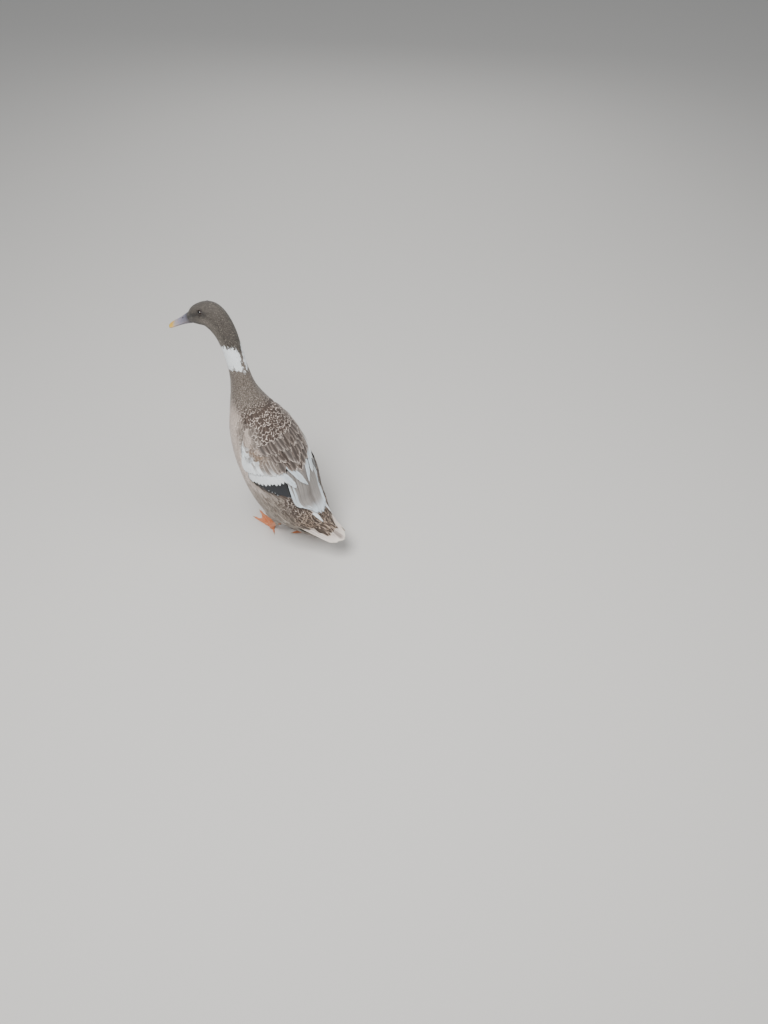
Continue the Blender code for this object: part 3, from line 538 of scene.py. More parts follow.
def body_markings(t, a, random):
    """Colours of a contour feather rooted at (t, a): tone, dark centre, rim and fringe width."""
    deg = np.degrees(np.abs(wrap(a)))
    r1 = random.uniform(-1, 1, t.shape)
    r2 = random.uniform(-1, 1, t.shape)
    uneven = ripple(t, a, 9.0, 1.0)
    back = smooth(98, 62, deg + 8 * uneven)
    low = smooth(7.6, 5.8, t + 0.2 * uneven)

    # Brown back with pale fringes, fawn breast
    tone = blend(PALETTE["breast"], PALETTE["mantle"], back)
    rim = blend(PALETTE["breast_rim"], PALETTE["mantle_rim"], back * (0.75 + 0.25 * r2))
    width = 0.17 + 0.02 * back + 0.05 * r2
    streak = 0.25 + 0.55 * back

    # Streaked flanks, shoulder, belly, the pale line under the wing and the dark rump
    side = smooth(45, 72, deg) * low
    flank = blend(PALETTE["flank"], PALETTE["flank_warm"], smooth(-0.4, 0.6, r2 + uneven))
    tone = blend(tone, flank, side)
    rim = blend(rim, PALETTE["flank_rim"], side)
    tone = blend(tone, PALETTE["flank_pale"], side * smooth(0.1, 1.0, r1) * 0.7)
    rim = blend(rim, tone, side * 0.65)
    shoulder = smooth(30, 54, deg) * smooth(100, 82, deg) * smooth(10.0, 9.3, t) * smooth(8.0, 8.5, t)
    tone = blend(tone, PALETTE["covert"], shoulder)
    rim = blend(rim, PALETTE["covert_rim"], shoulder)
    belly = smooth(120, 150, deg) * smooth(8.2, 6.5, t)
    tone = blend(tone, PALETTE["belly"], belly * 0.8)
    along_wing = np.degrees(np.abs(wrap(a)) - cover_edge(t, np.sign(wrap(a))))
    cream = bump(along_wing, 3.0, 4.0) * smooth(6.2, 6.8, t) * smooth(9.0, 8.4, t)
    tone = blend(tone, PALETTE["breast_rim"], 0.7 * cream)
    rump = smooth(84, 58, deg) * smooth(5.2, 4.2, t)
    tone = blend(tone, PALETTE["rump"], rump)
    rim = blend(rim, PALETTE["rump_rim"], rump * (0.8 + 0.2 * r1))
    width = width + 0.05 * rump
    streak = streak + 0.2 * side

    # Grey-brown neck, paler in front
    neck = smooth(9.9, 10.9, t)
    front = smooth(95, 140, deg)
    tone = blend(tone, blend(PALETTE["neck"], PALETTE["throat"], front), neck)
    rim = blend(rim, PALETTE["neck_rim"], neck)
    width = width + (0.16 - width) * neck
    streak = streak + (0.85 - streak) * neck

    # Dark cap, paler cheek, the stripe through the eye and scattered pale flecks
    head = smooth(12.7, 13.3, t)
    cheek = smooth(60, 95, deg) * smooth(16.3, 15.2, t)
    tone = blend(tone, blend(PALETTE["cap"], PALETTE["cheek"], cheek), head)
    flecked = smooth(0.2, 0.9, r2 + 0.5 * ripple(t, a, 14.0, 2.5))
    rim = blend(rim, blend(PALETTE["cap"], PALETTE["fleck"], 0.2 + 0.7 * flecked), head)
    width = width + (0.15 + 0.07 * r1 - width) * head
    stripe = bump(deg, 62, 13) * smooth(14.9, 15.5, t)
    tone = blend(tone, PALETTE["eye_stripe"], stripe * 0.85)
    rim = blend(rim, PALETTE["eye_stripe"], stripe * 0.7)

    # The white patch of the neck lies over all of it
    white = neck_patch(t, a, 0.6 * r1 + ripple(t, a, 22.0, 4.0))
    tone = blend(tone, PALETTE["white"], white)
    rim = blend(rim, PALETTE["white"], white)
    streak = streak * (1 - white)
    tone = tone * (1 + (0.10 + 0.10 * np.maximum(back, side)) * r1 * (1 - white * 0.8))[..., None]
    rim = rim * (1 + 0.08 * r2)[..., None]
    return tone, np.clip(streak, 0, 1), rim, np.clip(width, 0.02, 1)


def feather_width(v, point, root=0.34):
    """Half width of a feather at share v of its length: narrow root, widest at point, blunt tip."""
    rise = root + (1 - root) * smooth(0.0, point, v)
    fall = np.clip(1 - (0.965 * (v - point) / (1 - point)) ** 2, 0, 1) ** 0.55
    return np.where(v < point, rise, fall)


def leaf(shares, columns, point, ragged, random, bulge=0.0):
    """A feather's points as x across, v along, its distance from the edge and its rib, and its faces.

    Its edge is ragged where the barbs part. The upper and the under face share their border, so
    that the feather is one thin closed body."""
    u = np.linspace(-1, 1, columns)
    u = np.sign(u) * np.abs(u) ** 0.9
    v, u = np.meshgrid(shares, u, indexing="ij")
    width = feather_width(v, point)
    torn = random.uniform(-ragged, 0.3 * ragged, v.shape) * smooth(0.3, 0.7, v) * np.abs(u) ** 3
    x = u * width * (1 + torn) + bulge * v * (1 - v)
    edge = np.minimum(width * (1 - np.abs(u)), 3.0 * (1 - v))
    parted = random.uniform(-0.8, 0.3, v.shape[1])[None, :] * ragged * smooth(0.72, 1.0, v)
    v = v * (1 + parted - 0.03 * u**2 * smooth(0.6, 1.0, v))
    rows = len(shares)
    top = np.arange(v.size).reshape(v.shape)
    under = top.copy()
    inside = (slice(1, -1), slice(1, -1))
    under[inside] = v.size + np.arange((rows - 2) * (columns - 2)).reshape(rows - 2, columns - 2)
    quads = grid_faces(rows, columns)
    faces = np.concatenate([top.ravel()[quads], under.ravel()[quads][:, ::-1]])
    rib = (1 - np.abs(u)) ** 0.7 * (1 - 0.6 * v)

    def both(values):
        return np.concatenate([values.ravel(), values[inside].ravel()])

    thick = np.concatenate([np.where(np.isin(top, under), 0, rib).ravel(), -rib[inside].ravel()])
    return both(x), both(v), both(edge), thick, faces


def sharpen_border(thing, border):
    """Parts the shading of a thin form's two faces along its border, given as a mask of its points."""
    mesh = thing.data
    ends = np.empty(2 * len(mesh.edges), np.int32)
    mesh.edges.foreach_get("vertices", ends)
    sharp = border[ends.reshape(-1, 2)].all(1)
    mesh.attributes.new("sharp_edge", "BOOLEAN", "EDGE").data.foreach_set("value", sharp)


def surface_frame(surface, t, a, h):
    """Steps of the surface along t and round a, and its outward normal."""
    step = 1e-3
    along = (surface(t + step, a, h) - surface(t - step, a, h)) / (2 * step)
    across = (surface(t, a + step, h) - surface(t, a - step, h)) / (2 * step)
    out = unit(np.cross(along, across))
    outward = surface(t, a, h + 1e-4) - surface(t, a, h)
    return along, across, out * np.sign(np.sum(out * outward, -1))[..., None]


def surface_step(along, across, direction):
    """Changes of t and a that move one metre in a direction on the surface."""
    tt, ta, aa = (np.sum(p * q, -1) for p, q in ((along, along), (along, across), (across, across)))
    dt, da = np.sum(direction * along, -1), np.sum(direction * across, -1)
    size = tt * aa - ta * ta
    return (dt * aa - da * ta) / size, (da * tt - dt * ta) / size


def tract(surface, t_high, t_low, a_low, a_high, exposed, random, wide=1.08):
    """Roots of feathers in staggered rows from the head end t_high to t_low between two angles.

    exposed gives the visible length of a feather at station t, wide its spacing sideways as a
    multiple of it. Each root is (t, a, step in t to the next row, visible length). Where the form
    bends, the feathers on its outer side are longer."""
    roots = []
    t, row = t_high, 0
    probes = np.linspace(a_low, a_high, 33)
    nudge = 0.01
    while t > t_low:
        here = np.full(len(probes), t)
        line = surface(here, probes, 0.0)
        ahead = surface(here + nudge, probes, 0.0) - surface(here - nudge, probes, 0.0)
        stretch = np.linalg.norm(ahead, axis=1) / (2 * nudge)
        arc = np.r_[0, np.cumsum(np.linalg.norm(np.diff(line, axis=0), axis=1))]
        count = max(3, int(round(arc[-1] / (exposed(t) * wide))))
        k = (np.arange(count) + 0.25 + 0.5 * (row % 2) + random.uniform(-0.26, 0.26, count)) / count
        a = np.interp(k * arc[-1], arc, probes)
        step = exposed(t) / np.percentile(stretch, 65)
        visible = np.clip(np.interp(k * arc[-1], arc, stretch) * step, 0.8 * exposed(t), 1.4 * exposed(t))
        high = t + random.uniform(-0.24, 0.24, count) * step
        roots.append(np.stack([high, a, np.full(count, step), visible], 1))
        t -= step
        row += 1
    return np.concatenate(roots)


def turns(x_axis, y_axis, z_axis):
    """Quaternions, w first, of frames given by their three axes."""
    m = np.stack([x_axis, y_axis, z_axis], -1)
    w = np.sqrt(np.maximum(0, 1 + m[:, 0, 0] + m[:, 1, 1] + m[:, 2, 2])) / 2
    x = np.sqrt(np.maximum(0, 1 + m[:, 0, 0] - m[:, 1, 1] - m[:, 2, 2])) / 2
    y = np.sqrt(np.maximum(0, 1 - m[:, 0, 0] + m[:, 1, 1] - m[:, 2, 2])) / 2
    z = np.sqrt(np.maximum(0, 1 - m[:, 0, 0] - m[:, 1, 1] + m[:, 2, 2])) / 2
    x = np.copysign(x, m[:, 2, 1] - m[:, 1, 2])
    y = np.copysign(y, m[:, 0, 2] - m[:, 2, 0])
    z = np.copysign(z, m[:, 1, 0] - m[:, 0, 1])
    q = np.stack([w, x, y, z], 1)
    return q / np.linalg.norm(q, axis=1)[:, None]


def feather_object(name, shares, columns, point, ragged, seeds):
    """Variants of one feather of unit half width and length, for the coat to choose from."""
    group = bpy.data.collections.new(name)
    for seed in range(seeds):
        random = np.random.default_rng(seed)
        bulge = random.uniform(-0.25, 0.25)
        x, v, edge, thick, faces = leaf(shares, columns, point, ragged, random, bulge)
        plume = [("plume", "FLOAT_VECTOR", np.stack([x, v, edge], 1))]
        variant = mesh_object(f"{name}_{seed}", np.stack([x, v, thick], 1), faces, plume)
        sharpen_border(variant, thick == 0)
        bpy.context.scene.collection.objects.unlink(variant)
        group.objects.link(variant)
    return group


def coat_tree():
    """Sets a feather on each root, bends it to the skin and gives it its patch of the unwrap."""
    tree = bpy.data.node_groups.new("coat of feathers", "GeometryNodeTree")
    for name, kind in (
        ("Roots", "Geometry"), ("Feathers", "Collection"), ("Finish", "Material"), ("Patch size", "Float"),
    ):
        tree.interface.new_socket(name, in_out="INPUT", socket_type="NodeSocket" + kind)
    tree.interface.new_socket("Coat", in_out="OUTPUT", socket_type="NodeSocketGeometry")
    given = add(tree, "NodeGroupInput").outputs
    read = {}
    for name, kind in (
        ("kind", "INT"), ("turn", "QUATERNION"), ("size", "FLOAT_VECTOR"), ("plume", "FLOAT_VECTOR"),
        ("bow", "FLOAT_VECTOR"), ("roll", "FLOAT"), ("out", "FLOAT_VECTOR"), ("patch", "FLOAT_VECTOR"),
    ):
        stored = add(tree, "GeometryNodeInputNamedAttribute", {"Name": name}, data_type=kind)
        read[name] = stored.outputs["Attribute"]
    feathers = add(tree, "GeometryNodeCollectionInfo", {
        "Collection": given["Feathers"], "Separate Children": True, "Reset Children": True,
    })
    placed = add(tree, "GeometryNodeInstanceOnPoints", {
        "Points": given["Roots"], "Instance": feathers, "Pick Instance": True,
        "Instance Index": read["kind"], "Rotation": read["turn"], "Scale": read["size"],
    })
    real = add(tree, "GeometryNodeRealizeInstances", {"Geometry": placed})

    # Height over a straight feather: the tip rises, the edges roll, and it bows with the body
    across, along, _ = add(tree, "ShaderNodeSeparateXYZ", {0: read["plume"]}).outputs
    sag, cup, rise = add(tree, "ShaderNodeSeparateXYZ", {0: read["bow"]}).outputs
    along_squared = add(tree, "ShaderNodeMath", {0: along, 1: along}, operation="MULTIPLY")
    across_squared = add(tree, "ShaderNodeMath", {0: across, 1: across}, operation="MULTIPLY")
    sunk = add(tree, "ShaderNodeMath", {0: along_squared, 1: sag}, operation="MULTIPLY")
    drooped = add(tree, "ShaderNodeMath", {0: across_squared, 1: cup, 2: sunk}, operation="MULTIPLY_ADD")
    lifted = add(tree, "ShaderNodeMath", {0: along, 1: rise}, operation="MULTIPLY")
    rolled = add(tree, "ShaderNodeMath", {0: across, 1: read["roll"], 2: lifted}, operation="MULTIPLY_ADD")
    height = add(tree, "ShaderNodeMath", {0: rolled, 1: drooped}, operation="SUBTRACT")
    offset = add(tree, "ShaderNodeVectorMath", {0: read["out"], "Scale": height}, operation="SCALE")
    bent = add(tree, "GeometryNodeSetPosition", {"Geometry": real, "Offset": offset})

    spread = add(tree, "ShaderNodeVectorMath", {
        0: read["plume"], "Scale": given["Patch size"],
    }, operation="SCALE")
    unwrap = add(tree, "ShaderNodeVectorMath", {0: spread, 1: read["patch"]}, operation="ADD")
    stored = add(tree, "GeometryNodeStoreNamedAttribute", {
        "Geometry": bent, "Name": "OFBake", "Value": unwrap,
    }, data_type="FLOAT2", domain="CORNER")
    finished = add(tree, "GeometryNodeSetMaterial", {"Geometry": stored, "Material": given["Finish"]})
    add(tree, "NodeGroupOutput", {"Coat": finished})
    return tree


COAT_TREE = coat_tree()
# Size of one feather's patch in the unwrap of its coat
PATCH = 0.0015
# Forms of each feather, and the feathers: rows of points, columns, widest share, raggedness
VARIANTS = 5
TINY_FEATHER = feather_object("tiny_feather", (0.0, 0.64, 0.86, 1.0), 5, 0.62, 0.24, VARIANTS)
SMALL_FEATHER = feather_object("small_feather", (0.0, 0.45, 0.70, 0.84, 0.94, 1.0), 5, 0.62, 0.22, VARIANTS)
MIDDLE_FEATHER = feather_object(
    "middle_feather", (0.0, 0.35, 0.60, 0.73, 0.83, 0.91, 0.97, 1.0), 5, 0.60, 0.18, VARIANTS
)


def coat(name, surface, roots, feather, finish, markings, random, form):
    """One piece of the coat: feathers at their roots, as one joined mesh.

    form holds multiples of the visible length: the whole length, the half width, how deep the root
    sits, how far the tip rises and the thickness; then the lie, the way they sweep to the back in
    radians, as a number or a function of (t, a), and how unevenly they lie."""
    t, a, _, exposed = roots.T
    length_factor, width_factor, depth, rise, thick, sweep, uneven = form
    along, across, out = surface_frame(surface, t, a, 0.0 * t)
    tail = -unit(along)
    around = unit(across - tail * np.sum(across * tail, 1)[:, None])
    sweep = sweep(t, a) if callable(sweep) else sweep
    lie = -np.sign(wrap(a)) * sweep + random.normal(0, uneven, t.shape)
    direction = tail * np.cos(lie)[:, None] + around * np.sin(lie)[:, None]
    length = exposed * length_factor * random.uniform(0.86, 1.14, t.shape)
    half = exposed * width_factor * random.uniform(0.84, 1.14, t.shape)
    rise = rise * exposed
    start = -depth * exposed + random.uniform(-0.2, 0.2, t.shape) * rise
    place = surface(t, a, start)
    dt, da = surface_step(along, across, direction)
    tip = surface(t + dt * length, a + da * length, start)
    wide = np.cross(direction, out)
    dt, da = surface_step(along, across, wide)
    left = surface(t + dt * half, a + da * half, start)
    right = surface(t - dt * half, a - da * half, start)
    sag = np.clip(-np.sum(out * (tip - place), 1), -0.15 * length, 0.35 * length)
    cup = np.clip(-np.sum(out * ((left + right) / 2 - place), 1), -0.1 * half, 0.5 * half)
    bow = np.stack([sag, cup + 0.02 * half, rise * random.uniform(0.6, 1.4, t.shape)], 1)
    tone, streak, rim, width = markings(t, a, random)
    patch = np.stack([t / LAST, (a / (2 * math.pi)) % 1.0, 0.0 * t], 1) * 0.97 + 0.012
    ground = mesh_object(name, place, np.zeros((0, 4), int), [
        ("turn", "QUATERNION", turns(wide, direction, out)),
        ("size", "FLOAT_VECTOR", np.stack([half, length, thick * exposed], 1)),
        ("out", "FLOAT_VECTOR", out),
        ("bow", "FLOAT_VECTOR", bow),
        ("roll", "FLOAT", random.uniform(-0.06, 0.06, t.shape) * half),
        ("kind", "INT", random.integers(0, VARIANTS, t.shape)),
        ("patch", "FLOAT_VECTOR", patch),
        ("tone", "FLOAT_COLOR", np.c_[tone, streak]),
        ("rim", "FLOAT_COLOR", np.c_[rim, width]),
        ("chance", "FLOAT", random.uniform(0, 1, t.shape)),
    ])
    return grow(ground, COAT_TREE, {"Feathers": feather, "Finish": finish, "Patch size": PATCH})


def grow(thing, tree, inputs):
    """Runs a node tree on an object and keeps its result as the object's plain mesh."""
    step = thing.modifiers.new("grow", "NODES")
    step.node_group = tree
    for item in tree.interface.items_tree:
        if item.item_type == "SOCKET" and item.name in inputs:
            step[item.identifier] = inputs[item.name]
    graph = bpy.context.evaluated_depsgraph_get()
    made = bpy.data.meshes.new_from_object(thing.evaluated_get(graph))
    thing.modifiers.clear()
    old = thing.data
    thing.data = made
    bpy.data.meshes.remove(old)
    return thing


def join(name, things):
    """Joins objects into one mesh, the first one's."""
    chosen = {"active_object": things[0], "selected_objects": things, "selected_editable_objects": things}
    with bpy.context.temp_override(**chosen):
        bpy.ops.object.join()
    things[0].name = name
    return things[0]


# Rows of points along a long feather, closer towards its tip
LONG_SHARES = 1 - (1 - np.linspace(0, 1, 26)) ** 1.3


def big_feathers(name, surface, feathers, finish, columns=11, point=0.66):
    """Long feathers laid over a surface, each along its own path, as one mesh.

    feathers holds a dict for each: root and tip as (t, a), bend for the bow of its path, half its
    width, low and high for the height at root and tip, base for a height added along t, clear for
    the least height over the bed, tilt for the lift of its lower edge, slender for the share of its
    width that its root lacks, and paint, which gives tone, streak, rim and fringe width at its
    points (x, v)."""
    points, tones, rims, uvs, chances, plumes, faces, borders = [], [], [], [], [], [], [], []
    cells = int(math.ceil(math.sqrt(len(feathers))))
    total = 0
    for k, f in enumerate(feathers):
        random = np.random.default_rng(100 + k)
        x, v, edge, thick, quads = leaf(LONG_SHARES, columns, point, f.get("ragged", 0.05), random)
        (t0, a0), (t1, a1) = f["root"], f["tip"]
        s = np.linspace(0, 1.05, 43)
        t = t0 + (t1 - t0) * s
        a = a0 + (a1 - a0) * s + f.get("bend", 0.0) * 4 * s * (1 - s)
        ease = np.clip(s, 0, 1) ** f.get("ease", 0.6)
        height = f["low"] + (f["high"] - f["low"]) * ease
        if "base" in f:
            height = height + f["base"](t)
        along, across, out = surface_frame(surface, t, a, height)
        travel = np.gradient(surface(t, a, height), axis=0)
        wide = unit(np.cross(unit(travel), out)) * f["side"]
        dt, da = surface_step(along, across, wide)

        def pick(values):
            return np.interp(v, s, values)

        reach = x * f["half"] * (1 - f.get("slender", 0.0) * smooth(0.36, 0.0, v))
        here_t, here_a = pick(t) + pick(dt) * reach, pick(a) + pick(da) * reach
        h = pick(height) + f["tilt"] * reach - f.get("cup", 0.03) * x**2 * f["half"]
        if "clear" in f:
            h = np.maximum(h, f["clear"] - bed(here_t, here_a))
        points.append(surface(here_t, here_a, h + thick * f.get("rib", 0.0005) / 2))
        tone, streak, rim, width = f["paint"](x, v)
        tones.append(np.c_[np.broadcast_to(tone, (len(x), 3)), np.broadcast_to(streak, len(x))])
        rims.append(np.c_[np.broadcast_to(rim, (len(x), 3)), np.broadcast_to(width, len(x))])
        chances.append(np.full(len(x), f.get("chance", 0.5)))
        row, column = divmod(k, cells)
        uvs.append(np.stack([column + 0.5 + x * 0.42, row + 0.06 + v * 0.86], 1) / cells)
        plumes.append(np.stack([x, v, edge], 1))
        borders.append(thick == 0)
        faces.append(quads + total)
        total += len(x)
    thing = mesh_object(name, np.concatenate(points), np.concatenate(faces), [
        ("plume", "FLOAT_VECTOR", np.concatenate(plumes)),
        ("tone", "FLOAT_COLOR", np.concatenate(tones)),
        ("rim", "FLOAT_COLOR", np.concatenate(rims)),
        ("chance", "FLOAT", np.concatenate(chances)),
    ], np.concatenate(uvs))
    thing.data.materials.append(finish)
    fix_normals(thing)
    sharpen_border(thing, np.concatenate(borders))
    return thing


# Depth of the coat over the flesh on the trunk and on the head
TRUNK_COAT, HEAD_COAT = 0.0018, 0.0008


def coat_depth(t):
    """How deep the skin lies under the coat's surface, thinner up the neck and at the bill's root."""
    return TRUNK_COAT + (HEAD_COAT - TRUNK_COAT) * smooth(9.8, 11.6, t) - 0.0003 * smooth(16.3, 16.8, t)


# Legs: hip, hock and ankle as (x, forward, height), and how far the foot turns to the middle
LEGS = {
    "left": (1, (0.044, -0.046, 0.140), (0.040, -0.060, 0.066), (0.028, -0.024, 0.0125), 20),
    "right": (-1, (-0.040, -0.098, 0.130), (-0.036, -0.142, 0.060), (-0.024, -0.112, 0.0125), 20),
}
# The thigh's radius at shares of the way from the hip to the hock
THIGH_FORM = ((0.0, 0.010), (0.10, 0.0165), (0.28, 0.0215), (0.5, 0.0215), (0.8, 0.0125), (1.0, 0.0085))


def place(point):
    """(x, forward, height) as a point of the frame."""
    return np.array([point[0], -point[1], point[2]]) + SHIFT


def thigh_form(which):
    """The thigh as a surface: t runs from the hock (0) to the hip (1)."""
    _, hip, hock, _, _ = LEGS[which]
    hip, hock = place(hip), place(hock)
    ahead = unit(hip - hock)
    left = unit(np.array([1.0, 0, 0]) - ahead * ahead[0])
    back = np.cross(ahead, left)
    form = np.array(THIGH_FORM)

    def surface(t, a, h=0.0):
        t, a, h = np.broadcast_arrays(np.asarray(t, float), a, h)
        radius = np.interp(1 - t, form[:, 0], form[:, 1]) - 0.0012
        wide = ((radius * 0.9 + h) * np.sin(a))[..., None] * left
        deep = ((radius + h) * np.cos(a))[..., None] * back
        return hock + (hip - hock) * t[..., None] + wide + deep

    return surface


# The down under the feathers is painted darker than they are: painted shade of the gaps between them
DOWN_PAINTED_SHADE = 0.8


def make_skin():
    """One skin for trunk, thighs, neck and head, inside the coat."""
    stations = np.r_[np.linspace(2.0, 10.0, 120)[:-1], np.linspace(10.0, BILL_CUT - 0.01, 170)]
    angles = np.linspace(0, 2 * math.pi, 144, endpoint=False)
    t, a = np.meshgrid(stations, angles, indexing="ij")
    thin_tail = smooth(4.3, 3.3, t) * (0.0036 + 0.0042 * smooth(2.1, 1.75, np.abs(wrap(a))))
    depth = coat_depth(t) + thin_tail + eye_pit(t, a)
    tone = body_markings(t.ravel(), a.ravel(), np.random.default_rng(1))[0]
    # The down's tone is darkened as painted shade of the gaps under the coat
    tone = np.c_[tone * DOWN_PAINTED_SHADE, np.ones(t.size)]
    body = loft("duck_skin", body_form(t, a, -depth), [("tone", "FLOAT_COLOR", tone)])
    angles = np.linspace(0, 2 * math.pi, 40, endpoint=False)
    for which in LEGS:
        surface = thigh_form(which)
        s, a = np.meshgrid(np.linspace(0.0, 1.15, 40), angles, indexing="ij")
        # The thighs' down is darkened the same way, as painted shade under their feathers
        tone = np.tile(np.r_[PALETTE["flank"] * DOWN_PAINTED_SHADE, 1.0], (s.size, 1))
        points = surface(np.clip(s, 0, 1), a, -0.002 - 0.004 * (s > 1))
        thigh = loft("thigh", points, [("tone", "FLOAT_COLOR", tone)])
        step = body.modifiers.new("thigh", "BOOLEAN")
        step.operation = "UNION"
        step.object = thigh
        graph = bpy.context.evaluated_depsgraph_get()
        made = bpy.data.meshes.new_from_object(body.evaluated_get(graph))
        body.modifiers.clear()
        body.data = made
        bpy.data.objects.remove(thigh)
    body.data.materials.clear()
    body.data.materials.append(down)
    return body


# The eye: its place on the head, its radius and how deep its centre sits
EYE_STATION, EYE_ANGLE = 15.50, math.radians(52)
EYE_RADIUS, EYE_DEPTH = 0.0058, 0.0034
# No feather reaches nearer to the eye's axis
EYE_CLEARANCE = 0.0057
# Half the opening between the lids
LID_INNER = 0.0047
# Section of the lids: distance from their opening and height over the eyeball at it
LID_SECTION = (
    (-0.00030, -0.0010),
    (-0.00012, 0.00005),
    (0.00015, 0.00036),
    (0.00050, 0.00040),
    (0.00085, 0.00018),
    (0.00130, -0.00020),
    (0.00200, -0.00075),
    (0.00290, -0.00170),
    (0.00280, -0.00230),
    (0.00120, -0.00200),
    (0.00030, -0.00200),
)


def eye_place(side):
    """Centre of the eyeball, the direction it looks, ahead and up."""
    point = skin([EYE_STATION], [EYE_ANGLE * side])[0]
    ahead = skin([EYE_STATION + 0.1], [EYE_ANGLE * side])[0] - point
    up = skin([EYE_STATION], [(EYE_ANGLE - 0.1) * side])[0] - point
    out = unit(np.cross(up, ahead) * -side)
    if out[0] * side < 0:
        out = -out
    ahead = unit(ahead - out * (ahead @ out))
    return point - out * EYE_DEPTH, out, ahead, np.cross(out, ahead) * side


EYES = {1: eye_place(1), -1: eye_place(-1)}


def eye_distance(points):
    """Distance from the nearer eye's axis."""
    reach = []
    for centre, out, _, _ in EYES.values():
        d = points - centre
        flat = d - np.sum(d * out, -1)[..., None] * out
        ahead = np.sum(d * out, -1) > -0.004
        reach.append(np.where(ahead, np.linalg.norm(flat, axis=-1), 1.0))
    return np.minimum(*reach)


def eye_pit(t, a):
    """The hollow that holds the eyeball."""
    return 0.0042 * smooth(0.0058, 0.0046, eye_distance(skin(t, a)))


def ride(thing, slot, *nodes):
    """Sets a piece on the duck's one body and hides the solids whose place it takes. The slot for its finish
    is not used.
    """
    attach(thing, "root")
    if nodes:
        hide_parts(*nodes)


def coat_form(t, a, h=0.0):
    """The surface the contour feathers are rooted on: the beds of the wings are filled in part."""
    head = smooth(HEAD_FROM, HEAD_FULL, t)
    inner = -0.0030 * smooth(3.8, 3.0, t) * smooth(1.75, 1.20, np.abs(wrap(a)))
    inner = inner - 0.0022 * smooth(4.5, 3.8, t) * bump(np.abs(wrap(a)), 1.85, 0.30)
    upper, lower = wing_edge(t, np.sign(wrap(a)))
    below = smooth(-0.1, 0.3, np.abs(wrap(a)) - (upper + lower) / 2) * smooth(8.2, 7.2, t)
    deep = bed(t, a)
    filled = 0.35 * (1 - below) * deep * smooth(10.4, 10.0, t) - 0.0012 * below * smooth(0.0, 0.003, deep)
    return skin(t, a, h - filled + head_relief(t, a) * head + inner)


def mantle_form(t, a, h=0.0):
    """The surface of the mantle's last feathers, which lie over the roots of the scapulars."""
    return skin(t, a, h + 0.0036 * smooth(10.1, 9.3, t))


# The wing's lower edge as the flank's feathers leave it in sight: station, degrees from the back
COVER_EDGE = (
    (9.6, 62),
    (9.2, 78),
    (8.6, 88),
    (8.0, 94),
    (7.2, 96),
    (6.95, 88),
    (6.65, 76),
    (6.35, 58),
    (6.0, 45),
    (5.7, 38),
    (5.0, 33),
    (4.4, 26),
    (3.8, 20),
    (3.2, 15),
    (2.8, 10),
)


def cover_edge(t, side):
    """The angle of that edge at station t, in radians."""
    rows = np.array(COVER_EDGE, float)[::-1]
    shift = wing_edge(t, side)[0] - wing_edge(t, 1.0)[0]
    return np.radians(np.interp(t, rows[:, 0], rows[:, 1])) + shift


def outside_wing(t, a):
    """Where body feathers grow: all round, less the places that the folded wings hide."""
    side = np.sign(wrap(a))
    upper, _ = wing_edge(t, side)
    a = np.abs(wrap(a))
    hidden = (a > upper * smooth(7.0, 7.8, t) + 0.03) & (a < cover_edge(t, side) - 0.06)
    return ~(hidden & (t > 3.7) & (t < 9.12))


def flank_sweep(t, a):
    """Flank feathers rise along the wing's edge towards the back. Elsewhere they lie straight."""
    near = smooth(0.55, 0.0, np.abs(wrap(a)) - cover_edge(t, np.sign(wrap(a))))
    return 0.04 + 0.38 * near * smooth(4.6, 5.4, t) * smooth(7.4, 6.9, t)


def visible_length(rows):
    """The feathers' visible length in metres as a function of the station."""
    stations, sizes = np.array(rows, float).T
    return lambda t: float(np.interp(t, stations, sizes)) / 1000


